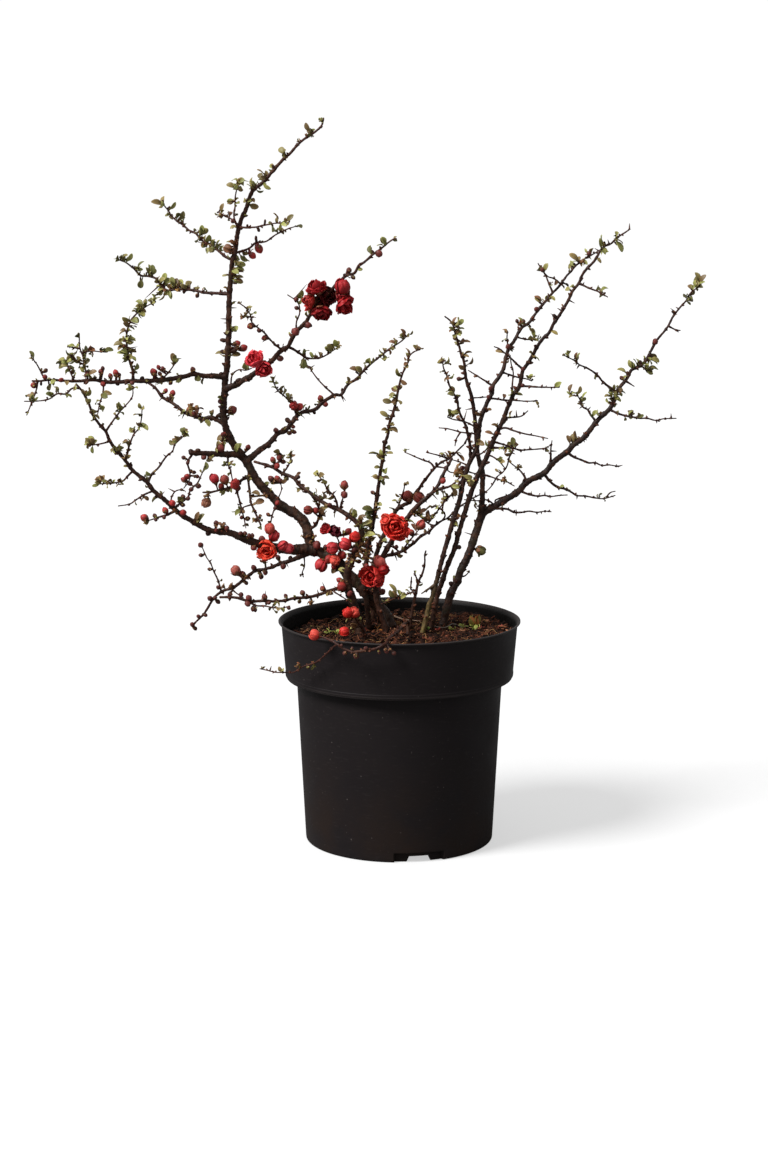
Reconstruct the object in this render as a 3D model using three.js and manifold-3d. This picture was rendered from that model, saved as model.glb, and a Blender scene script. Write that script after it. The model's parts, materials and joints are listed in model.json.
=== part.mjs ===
// A potted flowering quince: a black nursery pot of compost, a thorny shrub of several stems,
// and the scarlet blossoms and buds that it carries in spring.
//
// Millimetres, +Z up. The pot stands on z = 0, and -Y is the front. The shrub's stems are drawn
// in front elevation, as "x,z" points seen from one station far in front of the pot, and each
// point is then carried forward or back along its own line of sight to its depth.
import * as THREE from "three";
import * as BufferGeometryUtils from "three/addons/utils/BufferGeometryUtils.js";
import Module from "manifold-3d";

const wasm = await Module();
wasm.setup();

// ---- driving dimensions ----------------------------------------------------------------

const STATION = new THREE.Vector3(-14.6, -2230, 659);   // where the elevation is drawn from
const SEAT = 0.3;            // air gap between a piece and the piece that carries it
const BURIED = 12;           // how far a stem reaches down into the compost

const POT = {
  height: 213,
  lipRadius: 115,            // outer radius of the rolled lip, the widest place
  lipDepth: 4.5,
  lipBevel: 1.2,             // rounded edge of the lip
  collarTop: 112.2,          // outer radius of the collar just under the lip
  collarFoot: 108.4,         // and at its lower edge
  collarFootZ: 160.5,
  bodyTop: 97.8,             // outer radius under the collar's step
  bodyTopZ: 158.5,
  bodyFoot: 89.7,
  wall: 1.8,
  floorZ: 6.6,               // underside of the floor, up inside the foot ring
  floorThickness: 2,
  footWall: 6,
  cornerRadius: 3,
  turns: 48,                 // facets round the pot
};
const DRAIN = { notches: 4, notchWidth: 45, notchHeight: 5.6, notchTurn: 12,
  holes: 8, holeRadius: 6, holeCircle: 66 };
const COMPOST = { surface: 199, crown: 5, tilt: 3.5, lump: 1, sides: POT.turns / 2, rings: 5 };

const LIMB_SIDES = 6;
const TWIG_SIDES = 5;
const LIMB_STEP = 15;        // length of one facet along a stem
const TWIG_STEP = 16;
const TWIG_TIP = 0.5;
const TWIG_SWAY = 0.4;       // a twig leans forward or back by this part of its length
const TWIG_ROOT = 1.5;       // a route that starts nearer than this to the limb's axis starts on it

// ---- the shrub, drawn in elevation -----------------------------------------------------
//
// Each limb: name, the limb it grows from ("" rises from the compost), depths from base to tip
// (from the pot's axis for a stem of its own, else from its parent's depth where it starts),
// radii from base to tip, its route, and its twigs as [radius, route] or [radius, route, lean].

const LIMBS = [
  ["leader_stem", "", "10 16 24 30 32 28 22 16 10 4 0",
    "6.4 5.4 4.8 4.2 3.4 2.9 2.4 2 2 1.8 1.5 1.1 0.7",
    `-6,196 -12,212 -20,226 -30,238 -40,248 -49,257 -56,266 -64,273 -73,277 -81,281 -85,290 -87,300
     -91,308 -99,315 -111,322 -120,331 -130,341 -137,351 -142,361 -149,371 -156,381 -161,391 -164,400
     -165,410 -164.5,420 -163.5,430 -163,440 -161.5,450 -160.5,460 -159.3,480 -158.7,500 -158,520
     -156,540 -155,550 -152.3,560 -151,570 -149,580 -146,590 -142,598 -138,610 -135,616 -126,623
     -117,633 -107,644 -100,650 -95,656 -88,662 -80,667 -72,674 -70,680`,
    [[0.9, "-150,583 -153,592 -152,600 -151.5,610 -150,618 -149,625"],
      [0.9, "-150,585 -156,590 -161,592 -167,596"],
      [1.0, "-146,582 -135,582 -125,584 -112,586 -103,585"],
      [1.1, "-151,559 -139,563 -133,568 -124,569 -115,575 -105,580 -96,583"],
      [1.6, "-58,268 -56,278 -57,287 -60,294", -6]]],

  ["upper_left_bough", "leader_stem", "0 14 24 28", "1.5 1.2 1 0.6",
    `-154,552 -161,555 -167,560 -172,564 -177,567 -184,571 -188,576 -194,579 -200,584 -206,588
     -210,592 -214,598 -219,604`, []],

  ["high_left_bough", "leader_stem", "0 14 24 30 26", "1.6 1.3 1.3 1.1 0.7",
    `-158,521 -170,521.5 -180,522 -190,524 -200,525 -208,525 -216,524 -222,530 -226,535 -231,537
     -240,538 -246,544 -254,550 -262,553`, []],

  ["left_arm", "leader_stem", "0 -18 -34 -44 -50", "2.3 1.8 1.8 1.6 1.2 1 0.7",
    `-163,444 -175,444.5 -185,445 -192,446.5 -200,444.5 -212,442 -222,441 -235,440 -250,440 -262,439
     -275,439 -285,441 -298,440 -310,440 -325,441 -335,440 -343,440`,
    [[0.8, "-331,441 -334,447 -338,455 -343,462"],
      [0.8, "-304,440 -309,453 -311,459"],
      [0.9, "-291,441 -293,450 -295,462 -298,472 -298,484", 9],
      [1.3, "-249,440 -249,450 -252,460 -254,472 -254,484 -250,496 -244,503 -236,509 -228,513", -12],
      [0.8, "-338,440 -339,433 -344,420 -349,408", -8],
      [0.8, "-277,439 -277,430 -281,417 -283,407", -9],
      [0.9, "-222,441 -214,450 -209,457"]]],

  ["second_arm", "leader_stem", "0 14 26 30", "2 1.8 1.5 1.1",
    `-165,401 -170,403 -176,406 -183,404.5 -188,406 -195,408 -202,411 -208,416 -215,421 -222,425
     -226,431 -230,435 -236,439`, []],

  ["blossom_bough", "leader_stem", "0 -14 -30 -46 -58 -66", "2.8 2.3 2 1.8 1.5 1.1 0.7",
    `-163,433 -158,434.5 -152,437 -147,440 -142,443 -137,446 -128,452 -120,458 -117,461 -113,466
     -108,470 -104,472 -101,478 -97,485 -92,490 -87,495 -84,500 -72,515 -60,528 -49,538 -42,540
     -38,547 -33,550 -25,557 -18,562 -8,570 -4,572`,
    [[1.0, "-111,470 -116,474 -121,479 -126,485 -131,489 -137,494 -139,502 -143,508 -150,513"],
      [1.2, "-104,472 -98,469 -92,465 -87,461.5 -78,461 -73,462 -67,465 -57,472"],
      [0.8, "-97,487 -96,495 -93,503 -94,512 -98,516 -104,520", 8]]],

  ["right_mid_bough", "leader_stem", "0 20 36 50 60 66", "2.9 2.3 2 1.7 1.3 1 0.6",
    `-142,366 -136,371 -130,376 -124,380 -119,385 -114,391 -108,393 -104,397 -100,402 -96,407
     -90,411 -83,412 -78,414 -73,419 -66,424 -60,427 -55,427 -52,431 -48,437 -40,442 -36,447
     -28,455 -17,464 -8,471 0,476 7,482`,
    [[1.0, "-97,408 -100,417 -104,422 -109,427 -113,430 -116,435 -119,441"],
      [0.9, "-61,427 -68,433 -74,439 -79,445 -84,452 -88,457"]]],

  ["stubby_bough", "leader_stem", "0 -16 -28", "3 2.7 2.6 2.4 2.2",
    "-148,370 -155,371 -165,371 -175,371.5 -185,372 -196,372.5",
    [[1.0, "-161,371 -161,362 -159,356 -157,346"],
      [1.1, "-194,371 -199,363 -197,354 -198,346 -203,339", 5]]],

  ["inner_twig", "leader_stem", "0 -9 -16 -20", "1.2 1 0.9",
    "-141,357 -142,345 -141,335 -140,325 -137,318 -134,311 -131,304",
    [[0.8, "-140,323 -148,320 -151,313", -7]]],

  ["bud_spur_bough", "leader_stem", "0 9 14 16", "1.6 1.4 1.1 0.8",
    "-139,352 -148,347 -155,342 -162,339 -170,337 -178,335 -185,335",
    [[1.1, "-154,341 -152,332 -150,324 -148,316 -146,307 -145,301", -24],
      [0.9, "-180,335 -180,328", 0]]],

  ["lower_left_bough", "leader_stem", "0 -22 -40 -52 -62 -70",
    "4.4 3.6 2.8 2.4 2.2 1.9 1.5 1.3 1 0.8",
    `-80,280 -92,281 -100,280 -110,281 -120,283 -133,286 -142,289 -150,292 -160,296.5 -170,297.5
     -180,299 -190,304 -198,309 -205,313 -212,319 -218,325 -225,331 -232,337 -237,344 -244,350
     -251,356 -256,363 -262,371 -268,378 -272,384 -275,392 -280,398 -287,408 -291,420 -297,431
     -302,437`,
    [[0.9, "-272,383 -280,381 -290,379.5"],
      [0.9, "-275,393 -271,399 -262,411 -250,425 -249,433", 9],
      [1.0, "-257,365 -255,374 -253,381 -249,390 -244,396 -242,403 -241,413", -10],
      [1.0, "-251,355 -256,350 -260,346 -268,344 -282,343"],
      [1.1, "-236,345 -233,352 -227,358 -222,365 -218,370 -213,374 -211,380 -206,385 -200,391", 12],
      [1.0, "-232,336 -240,333 -248,328 -254,324 -265,322"],
      [1.3, "-211,318 -218,314 -225,312 -231,310 -237,308", -8],
      [1.1, "-212,320 -205,326 -199,331 -197,337 -190,344 -187,350 -184,357", 14],
      [0.9, "-299,433 -306,433 -312,428 -320,428 -328,423 -342,421 -351,421", -14]]],

  ["fork_stem", "", "-6 -12 -18 -20 -14 -4 6 14", "4.6 4.2 3.6 2.8 2.2 1.9 1.7 1.5 1.3",
    `-38,205 -41,218 -45,232 -49,246 -49,258 -45,270 -40,281 -36,292 -37,302 -43,309 -50,314
     -58,319 -68,323 -78,330 -86,336 -93,341 -100,349 -110,353 -120,359 -129,362 -136,364`,
    [[1.0, "-58,319 -60,328 -63,333 -68,338 -71,344 -77,352"],
      [1.2, "-56,318 -54,327 -52,335", -4],
      [1.0, "-110,353 -106,358 -103,364 -101,371"],
      [1.1, "-121,359 -116,362 -112,366 -110,370", -6]]],

  ["leafy_spur", "leader_stem", "0 -12 -16", "1.5 1.2 0.8",
    "-87,299 -80,303 -77,308 -75,315 -78,325 -83,332",
    [[0.9, "-76,312 -80,315 -83,318", -4]]],

  ["centre_stem", "", "4 6 0 -10 -20 -24", "2.6 2.4 2.1 2 1.7 1.5 1.3 1 0.6",
    `-29,206 -31,228 -33,243 -33,258 -31,270 -29,283 -27,296 -25,306 -23,318 -21,332 -20,340
     -18.5,350 -17,360 -15,370 -14,380 -11,390 -9,402 -6,410 -3.5,420 -1,433 2,445 5,452 8,458
     9,463 13,467 18,469`, []],

  ["back_stem", "", "34 32 28 18 6 -4 -8", "2.5 2.4 2.2 2.1 2 1.7 1.3 1 0.7",
    `-24,214 -27,232 -27,250 -24,268 -19,284 -12,300 -6,312 -2,319 4,323 10,326 14,333 18,338
     22,344 28,352 34,359 40,364 46,366.5 51,371 57,377 61,381`,
    [[0.9, "-2,318 1,328 4,337 5,343"],
      [0.9, "33,358 29,363 21,366 12,370 5,373", 9],
      [0.8, "46,366 40,369 33,371 25,373", -8]]],

  ["front_stem", "", "-10 -16 -22 -28 -24 -18", "2.8 2.6 2.4 2.4 2.2 1.7 1.2",
    `-12,204 -16,230 -15,250 -12,268 -7,284 0,300 8,311 14,319 20,325 27,331 33,337 37,343
     40,350 43,356 47,363 49,367`,
    [[1.5, "34,336 41,339 48,341 54,346 57,351", -6]]],

  ["right_low_bough", "leader_stem", "0 -2 -4 -4 -2 0", "1.8 1.7 1.6 1.4 1.2 0.8",
    `-42,250 -37,257 -29,262 -20,268 -13,274 -5,276 3,279 10,284 15,288 20,293 27,297 33,303
     40,308 45,310`,
    [[1.0, "3,279 8,287 13,293 18,299", -8],
      [0.9, "33,303 28,305 24,308 18,313"],
      [0.8, "41,308 43,313 40,318 36,320 33,322", -6],
      [0.8, "0,278 -5,282 -10,284 -15,283", 8]]],

  ["greenwood_cane", "", "-20 -18 -14 -4 10 24 36", "2.4 2.2 2.1 2.2 2.1 1.9 1.7 1.4 1.1 0.7",
    `21,194 24,208 28,225 33,241 37.5,259 42.5,279 48,298 51,310 55,322 58,334 60,345 63,356 67,366
     72,376 74,388 75,400 78,410 82,420 86,428 88,437 93,444 97,452 99,462 102,471 107,478 111,486
     114,490 120,494 125,501 131,509 137,516 141,521 146,526 150,531 155,538 159,542 163,547
     167,550 172,554 178,557`,
    [[1.5, "34,247 27,242 21,238", -5],
      [0.8, "74,390 66,391 57,392 50,394 43,395.5 37,396", 10],
      [0.9, "73,396 63,401 56,403 50,404 45,406", -8],
      [1.0, "86,436 80,440 72,445 64,450", 8],
      [0.9, "84,424 92,423 98,422 105,422 112,421.5 118,421 129,421.5", 16],
      [0.9, "96,448 105,445 112,443 118,442 123,440", 14],
      [0.8, "101,470 100,478 100,485"],
      [0.8, "112,480 120,478.5 128,478.5", 10],
      [0.9, "141,523 138,531 135,538 131,544 128,549", 8]]],

  ["slender_cane", "greenwood_cane", "0 -14 -26", "1.4 1.2 0.9 0.6",
    "67,368 66,380 64,390 62,398 58,406 55,414 54,422 50,429 46,437 44,445 41,452 40,458", []],

  ["forward_cane", "", "-8 -14 -24 -34 -44 -52 -56",
    "2.5 2.3 2.2 2.2 2.3 2.1 1.9 1.7 1.5 1.3 1.1 0.6",
    `29,197 32,214 36,236 41,251 44,261 48,271 52,281 57,300 62,317 66,330 70,342 75,354 80,364
     84,374 88,384 92,393 97,403 100,412 103,420 107,428 111,433 113,440 115,450 120,457 124,464
     128,472 133,479 139,485 143,493 149,502 153,509 157,516 160,523 166,531 170,540 175,546
     179,550 183,556 186,561 190,565 195,567 198,570 201,573 206,576 212,580`,
    [[1.1, "113,435 120,435 127,434.5 139,434 149,434"],
      [0.9, "99,405 107,406 114,407 120,412"],
      [1.0, "115,451 109,456 104,461 98,466 93,470 88,472", -9],
      [0.9, "105,424 105,430 105.5,440 106,448 104,456 103,464", 7],
      [1.0, "167,530 176,526 184,523 193,518"],
      [1.0, "92,395 99,396 108,393 117,390.5 125,389 132,387.5 139,386", -12],
      [1.1, "86,377 100,377 106,377 113,375 121,375.5 130,376 137,377 142,380", 6],
      [0.9, "106,376 103,368 101,360 97,354 92,350 87,342", 4],
      [0.9, "75,353 82,351 88,349 94,347 99,346 108,341", -8]]],

  ["right_bough", "", "12 18 26 36 48 60 72 80",
    "3.8 3.5 3.4 3.5 3.4 3 2.7 2.6 2.4 2.1 1.7 1.3 1.1 0.9 0.6",
    `41,204 46,228 49.5,240 55,250 58,260 63,270 67,280 70,290 73.5,300 76,309 80,316 88,321 95,325
     105,331 113,337 120,345 130,350 137,354 143,362 150,368 158,374 163,380 172,386 180,396
     187,405 195,412 200,420 203,430 208,437 212,442 216,450 222,453 227,456 232,464 236,472
     240,479 246,486 250,492 254,500 260,508 266,515 270,522 275,526 279,531`,
    [[1.2, "86,319 96,319.5 102,319 108,316 115,316 122,317 130,316 137,317 143,316.5", -14],
      [1.1, "113,336 122,333 130,331.5 137,332 142,331 150,332 158,332.5", -16],
      [1.3, `136,352 142,345 149,340 156,338 162,335 167,332 175,331.5 183,330 192,329 203,332`, 14],
      [1.2, "157,373 163,369 170,366 178,363 184,363 190,360.5 197,361 205,359.5", -12],
      [1.1, "199,412 206,409 213,407 219,406 225,405 232,405 240,403 247,404.5 259,405", -14],
      [1.2, "142,361 142,370 142,377 143,384", -5],
      [1.1, "184,402 179,408 176,413 171,416 169,422 166,426 160,426", 10],
      [1.2, "203,429 190,439 184,446 175,452 168,455 163,459 157,462 153,464", -12],
      [1.1, "211,440 219,435", 0],
      [1.0, "222,453 227,453 231,448", 4],
      [0.9, "250,491 256,488 261,487", 4],
      [1.0, "120,345 117,351 112,357 108,360 103,364", 10],
      [1.2, "70,281 74,280", 0]]],

  ["tall_cane", "right_bough", "0 -8 -12 -16 -22", "2.4 2.3 2.1 1.9 1.7 1.5 1.2 0.9 0.6",
    `76,309 78,328 78,342 78,354 75,364 73,374 72,386 71,398 70,410 68,421 66,430 63,438 61,448
     60,458 57,466 55,474 52,483 50,491 47,496 42,500`,
    [[0.7, "67,424 75,424.5 81,425", 2]]],

  ["low_left_bough", "leader_stem", "0 18 30 40 46", "2.6 2 1.5 1.6 1.4 1.1 0.9",
    `-83,279 -95,273 -100,271 -108,268 -115,266 -122,263 -130,261 -137,259.5 -142,256 -147,252
     -153,247 -159,243 -165,241.5 -170,239 -175,235 -178,231 -182,224 -186,218 -190,214 -194,210
     -197,207`,
    [[0.9, "-169,240 -172,251 -176,260 -179,268 -182,272 -185,279 -187,284", 10],
      [0.7, "-90,275 -90,264 -92,258 -91,254", -2]]],

  ["rim_bough", "fork_stem", "0 -16 -26 -28", "1.6 1.4 1.4 1.3 1.1",
    `-48,246 -58,243 -66,241 -76,237 -84,235 -92,234 -100,233.5 -108,231.5 -118,230.5 -128,231
     -138,230.5 -145,231 -152,233.5 -160,234.5 -170,234.5`,
    [[0.9, "-145,231 -136,226.5 -128,226 -120,224.5 -112,224 -104,226", -8]]],

  ["trailing_bough", "", "-22 -52 -86 -106 -121 -124 -123 -121 -119 -115 -109 -101",
    "1.7 1.5 1.4 1.3 1.2 1.1 0.9",
    "8,210 2,205 -6,198 -10,194.5 -14,189 -24,184 -34,182.5 -44,181.5 -52,184 -60,189.5 -68,194 -77,197",
    [[0.9, "-59,189 -64,185 -72,177 -80,171 -92,167 -101,161.5 -110,161.5 -118,161.5 -126,163.5 -133,165",
      66]]],

  ["dead_twig", "", "-14 -12 -8 -6", "1.7 1.6 1.3 1 0.7",
    "10,206 13,226 16,240 18,249 22,258 24,268 24,275 25,279",
    [[0.8, "18,249 15,256 14,260", -4],
      [0.9, "16,241 11,242 11,247 11.5,254", -3]]],

  ["pot_shoot", "", "-44 -46 -48", "1.6 1.4 1.1", "-33,200 -38,209 -43,216",
    [[1.0, "-37,207 -43,205 -48,202", -10]]],
];

// Blossoms: name, the limb that carries each, centre "x,z", radius, how far in front of the limb
// its centre lies, and the way it faces as [right, forward, up].
const BLOSSOMS = [
  ["centre_blossom", "front_stem", "-4,302", 12.4, 9, [0.05, 1, 0.25]],
  ["left_blossom", "lower_left_bough", "-125,280", 10.6, 8, [-0.1, 1, 0.1]],
  ["side_blossom", "lower_left_bough", "-108,283", 7.6, 5, [0.7, 0.5, 0.5]],
  ["upright_blossom", "lower_left_bough", "-121,297", 7.8, 2, [0, 0.3, 1]],
  ["arm_blossom", "blossom_bough", "-132,456", 10.2, 6, [0.6, 0.8, 0.3]],
  ["bough_blossom", "blossom_bough", "-66,515", 18.5, 3, [0.2, 0.9, -0.3]],
  ["dark_blossom", "leader_stem", "-64,299", 9.2, 2, [-0.6, 0.4, 0.6]],
  ["low_blossom", "centre_stem", "-27,253", 9.4, 8, [0.3, 1, -0.3]],
  ["tucked_blossom", "front_stem", "-18,264", 6.2, -8, [0.5, -0.6, -0.4]],
  ["pot_blossom", "pot_shoot", "-46,219", 6.6, 3, [-0.3, 0.8, 0.7]],
];

// Buds: name, the limb that carries each, centre "x,z", radius and distance in front of the limb.
const BUDS = [
  ["bud_trunk_low", "leader_stem", "-74,266", 6, 4],
  ["bud_trunk_mid", "leader_stem", "-61,270", 5, 10],
  ["bud_trunk_high", "leader_stem", "-63,282", 5.8, 6],
  ["bud_fork_left", "fork_stem", "-51,285", 5.4, 4],
  ["bud_fork_front", "fork_stem", "-42,293", 4.8, 8],
  ["bud_fork_spire", "fork_stem", "-52,342", 4.6, 2],
  ["bud_spur_outer", "bud_spur_bough", "-174,348", 4.8, 3],
  ["bud_spur_inner", "bud_spur_bough", "-164.5,347", 3.9, 2],
  ["bud_spur_drooping", "bud_spur_bough", "-182,325", 4.8, 2],
  ["bud_back_left", "back_stem", "8,331", 4.4, 2],
  ["bud_back_right", "back_stem", "18,330.5", 4.8, 4],
  ["bud_low_left", "low_left_bough", "-155,260", 4.8, 3],
  ["bud_mid_bough", "right_mid_bough", "-99,417", 4.2, 4],
  ["bud_right_low", "right_low_bough", "20,304", 4.2, 3],
  ["bud_over_rim", "trailing_bough", "-80.5,198", 5.2, 1],
  ["bud_in_pot", "pot_shoot", "-52,201", 4.8, 2],
  ["bud_cane_ball", "right_bough", "77,279.5", 4.6, 1],
  ["bud_leafy_spur", "leafy_spur", "-86,318", 4, 2],
];

// Tufts of young leaves: name, the limb that carries each, where it sits "x,z", and leaf length.
// Each is a knob a little in front of its twig, with leaves that lean forward by `lift` radians.
const TUFTS = [
  ["leaf_tuft_right", "right_bough", "201,427", 11],
  ["leaf_tuft_left", "high_left_bough", "-212,527", 11],
  ["leaf_tuft_top", "leader_stem", "-139,621", 10],
];
const TUFT = { leaves: 6, forward: 2.6, thickness: 1.4, lift: 0.6 };

const COLOURS = {
  pot: 0x1f1d1e,
  compost: 0x4a3026,
  bark: 0x3e2e29,
  blossom: 0xd8302c,
  bud: 0xb83a3a,
  leaf: 0x7f8a3f,
};

// ---- small helpers ---------------------------------------------------------------------

const numbers = (text) => text.trim().split(/\s+/).map(Number);
const drawingPoints = (text) => text.trim().split(/\s+/).map((pair) => pair.split(",").map(Number));

// The value a list of stations gives at t, from 0 at the base to 1 at the tip.
function along(values, t) {
  const place = t * (values.length - 1);
  const index = Math.min(Math.floor(place), values.length - 2);
  return THREE.MathUtils.lerp(values[index], values[index + 1], place - index);
}

// A point of the elevation, carried along its line of sight to its depth behind the axis.
function carried([x, z], depth) {
  const reach = (depth - STATION.y) / -STATION.y;
  return new THREE.Vector3(
    STATION.x + (x - STATION.x) * reach, depth, STATION.z + (z - STATION.z) * reach);
}

// The inverse: where a point in space shows in the elevation.
function drawn(point) {
  const reach = (point.y - STATION.y) / -STATION.y;
  return [STATION.x + (point.x - STATION.x) / reach, STATION.z + (point.z - STATION.z) / reach];
}

function toSolid(geometry) {
  const bare = geometry.clone();
  bare.deleteAttribute("normal");
  bare.deleteAttribute("uv");
  const merged = BufferGeometryUtils.mergeVertices(bare, 1e-4);
  const mesh = new wasm.Mesh({
    numProp: 3,
    vertProperties: new Float32Array(merged.attributes.position.array),
    triVerts: new Uint32Array(merged.index.array),
  });
  return new wasm.Manifold(mesh);
}

function toGeometry(solid) {
  const mesh = solid.getMesh();
  const geometry = new THREE.BufferGeometry();
  geometry.setAttribute("position", new THREE.BufferAttribute(new Float32Array(mesh.vertProperties), 3));
  geometry.setIndex(new THREE.BufferAttribute(new Uint32Array(mesh.triVerts), 1));
  geometry.computeVertexNormals();
  return geometry;
}

const largest = (solid) =>
  solid.decompose().reduce((best, body) => (body.volume() > best.volume() ? body : best));

// A round bar along a curve: a capped cylinder whose rings are carried to the curve and scaled
// to the radius there. `margin` makes it fatter all round, for the clearance of a neighbour.
function bar(points, radii, sides, step, margin = 0) {
  const curve = new THREE.CatmullRomCurve3(points, false, "centripetal");
  const steps = Math.max(2, Math.round(curve.getLength() / step));
  const frames = curve.computeFrenetFrames(steps, false);
  const geometry = new THREE.CylinderGeometry(1, 1, 1, sides, steps, false);
  const position = geometry.attributes.position;
  const spot = new THREE.Vector3();
  for (let i = 0; i < position.count; i += 1) {
    spot.fromBufferAttribute(position, i);
    const t = THREE.MathUtils.clamp(spot.y + 0.5, 0, 1);
    const ring = Math.round(t * steps);
    const radius = along(radii, t) + margin;
    const centre = curve.getPointAt(t);
    centre.addScaledVector(frames.normals[ring], spot.x * radius);
    centre.addScaledVector(frames.binormals[ring], -spot.z * radius);
    const end = ring === 0 ? -margin : ring === steps ? margin : 0;
    centre.addScaledVector(frames.tangents[ring], end);
    position.setXYZ(i, centre.x, centre.y, centre.z);
  }
  const solid = toSolid(geometry);
  return solid.volume() < 0 ? toSolid(flipped(geometry)) : solid;
}

function flipped(geometry) {
  const index = geometry.index.array;
  for (let i = 0; i < index.length; i += 3) {
    [index[i], index[i + 1]] = [index[i + 1], index[i]];
  }
  return geometry;
}

// ---- stems -----------------------------------------------------------------------------

class Limb {
  constructor([name, parentName, depths, girths, route, twigs], earlier) {
    this.name = name;
    this.radii = numbers(girths);
    this.route = drawingPoints(route);
    const parent = earlier.get(parentName);
    const start = parent ? parent.depthNear(this.route[0]) : 0;
    const offsets = numbers(depths);
    this.depths = this.route.map((_, i) => start + along(offsets, i / (this.route.length - 1)));
    this.points = this.route.map((spot, i) => carried(spot, this.depths[i]));
    if (!parent) this.points.unshift(this.points[0].clone().add(new THREE.Vector3(0, 0, -BURIED)));
    this.twigs = twigs.map(([radius, text, lean], i) => this.twig(radius, text, lean, i));
  }

  // The place along the route that lies nearest a point of the elevation: [depth, radius].
  nearest([x, z]) {
    let best = { far: Infinity };
    for (let i = 0; i + 1 < this.route.length; i += 1) {
      const [ax, az] = this.route[i];
      const [bx, bz] = this.route[i + 1];
      const span = (bx - ax) ** 2 + (bz - az) ** 2;
      const t = THREE.MathUtils.clamp(((x - ax) * (bx - ax) + (z - az) * (bz - az)) / span, 0, 1);
      const spot = [ax + (bx - ax) * t, az + (bz - az) * t];
      const far = Math.hypot(x - spot[0], z - spot[1]);
      if (far < best.far) {
        const depth = THREE.MathUtils.lerp(this.depths[i], this.depths[i + 1], t);
        best = { far, spot, depth };
      }
    }
    return best;
  }

  depthNear(spot) {
    return this.nearest(spot).depth;
  }

  twig(radius, text, lean, order) {
    const root = this.nearest(drawingPoints(text)[0]);
    const route = [root.spot, ...drawingPoints(text).slice(root.far < TWIG_ROOT ? 1 : 0)];
    const last = route.at(-1);
    const reach = Math.hypot(last[0] - root.spot[0], last[1] - root.spot[1]);
    const sway = lean ?? TWIG_SWAY * reach * (order % 2 ? 1 : -1);
    const depths = route.map((_, i) => root.depth + (sway * i) / (route.length - 1));
    return { radius, route, depths, points: route.map((spot, i) => carried(spot, depths[i])) };
  }

  // The nearest point in space on the limb or one of its twigs to a point of the elevation.
  perch(spot) {
    const own = this.nearest(spot);
    const onTwigs = this.twigs.map((twig) => Limb.prototype.nearest.call(twig, spot));
    const best = onTwigs.reduce((a, b) => (b.far < a.far ? b : a), own);
    return carried(best.spot, best.depth);
  }

  solid(margin = 0) {
    const stem = bar(this.points, this.radii, LIMB_SIDES, LIMB_STEP, margin);
    return this.twigs.reduce(
      (joined, { points, radius }) =>
        joined.add(bar(points, [radius, TWIG_TIP], TWIG_SIDES, TWIG_STEP, margin)),
      stem);
  }
}

// ---- flowers ---------------------------------------------------------------------------

// A solid of revolution about +Z, whose radius may wave round the axis, turned to face a way
// and moved to its place, with a stalk back to the twig that carries it.
function headOnStalk(profile, wave, centre, facing, perch, stalkRadius, margin) {
  const outline = profile.map(([r, z]) => new THREE.Vector2(r, z));
  const geometry = new THREE.LatheGeometry(outline, wave ? 10 : 8);
  const position = geometry.attributes.position;
  for (let i = 0; i < position.count; i += 1) {
    const [x, y, z] = [position.getX(i), position.getY(i), position.getZ(i)];
    const swell = 1 + wave * Math.cos(5 * Math.atan2(z, x));
    position.setXYZ(i, x * swell, y, z * swell);
  }
  const turn = new THREE.Quaternion().setFromUnitVectors(new THREE.Vector3(0, 1, 0), facing);
  geometry.applyQuaternion(turn);
  geometry.translate(centre.x, centre.y, centre.z);
  const head = toSolid(geometry);
  const whole = head.volume() < 0 ? toSolid(flipped(geometry)) : head;
  const middle = perch.clone().lerp(centre, 0.5);
  const stalk = bar([perch, middle, centre], [stalkRadius, stalkRadius * 1.4], 6, 8, margin);
  return whole.add(stalk);
}

function blossomSolid([, host, spot, radius, forward, [right, front, up]], limbs, margin = 0) {
  const at = drawingPoints(spot)[0];
  const perch = limbs.get(host).perch(at);
  const centre = carried(at, perch.y - forward);
  const facing = new THREE.Vector3(right, -front, up).normalize();
  const r = radius + margin;
  const cup = [[0, -0.62 * r], [0.5 * r, -0.5 * r], [0.86 * r, -0.1 * r], [r, 0.22 * r],
    [0.72 * r, 0.42 * r], [0.3 * r, 0.36 * r], [0, 0.3 * r]];
  return headOnStalk(cup, 0.07, centre, facing, perch, 1.3, margin);
}

function budSolid([, host, spot, radius, forward], limbs, margin = 0) {
  const at = drawingPoints(spot)[0];
  const perch = limbs.get(host).perch(at);
  const centre = carried(at, perch.y - forward);
  const facing = centre.clone().sub(perch).normalize();
  const r = radius + margin;
  const egg = [[0, -1.1 * r], [0.55 * r, -0.85 * r], [0.95 * r, -0.15 * r], [0.9 * r, 0.4 * r],
    [0.5 * r, 0.88 * r], [0, r]];
  return headOnStalk(egg, 0, centre, facing, perch, 1.1, margin);
}

// Young leaves fanned round one knob just in front of a twig, each a thin pointed lens.
function tuftSolid([, host, spot, length], limbs, margin = 0) {
  const knobRadius = 2 + margin;
  const perch = limbs.get(host).perch(drawingPoints(spot)[0]);
  const heart = perch.clone().add(new THREE.Vector3(0, -TUFT.forward, 0));
  const knob = new THREE.IcosahedronGeometry(knobRadius, 0).translate(heart.x, heart.y, heart.z);
  const blades = Array.from({ length: TUFT.leaves }, (_, i) => {
    const round = (i * 2 * Math.PI) / TUFT.leaves;
    const blade = new THREE.OctahedronGeometry(1, 0);
    blade.scale(length / 2 + margin, TUFT.thickness / 2 + margin, length / 5 + margin);
    blade.translate(length / 2, 0, 0);
    blade.rotateZ(-TUFT.lift);
    blade.rotateY(-round);
    blade.translate(heart.x, heart.y, heart.z);
    return toSolid(blade);
  });
  return blades.reduce((joined, blade) => joined.add(blade), toSolid(knob));
}

// ---- pot and compost -------------------------------------------------------------------

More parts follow.
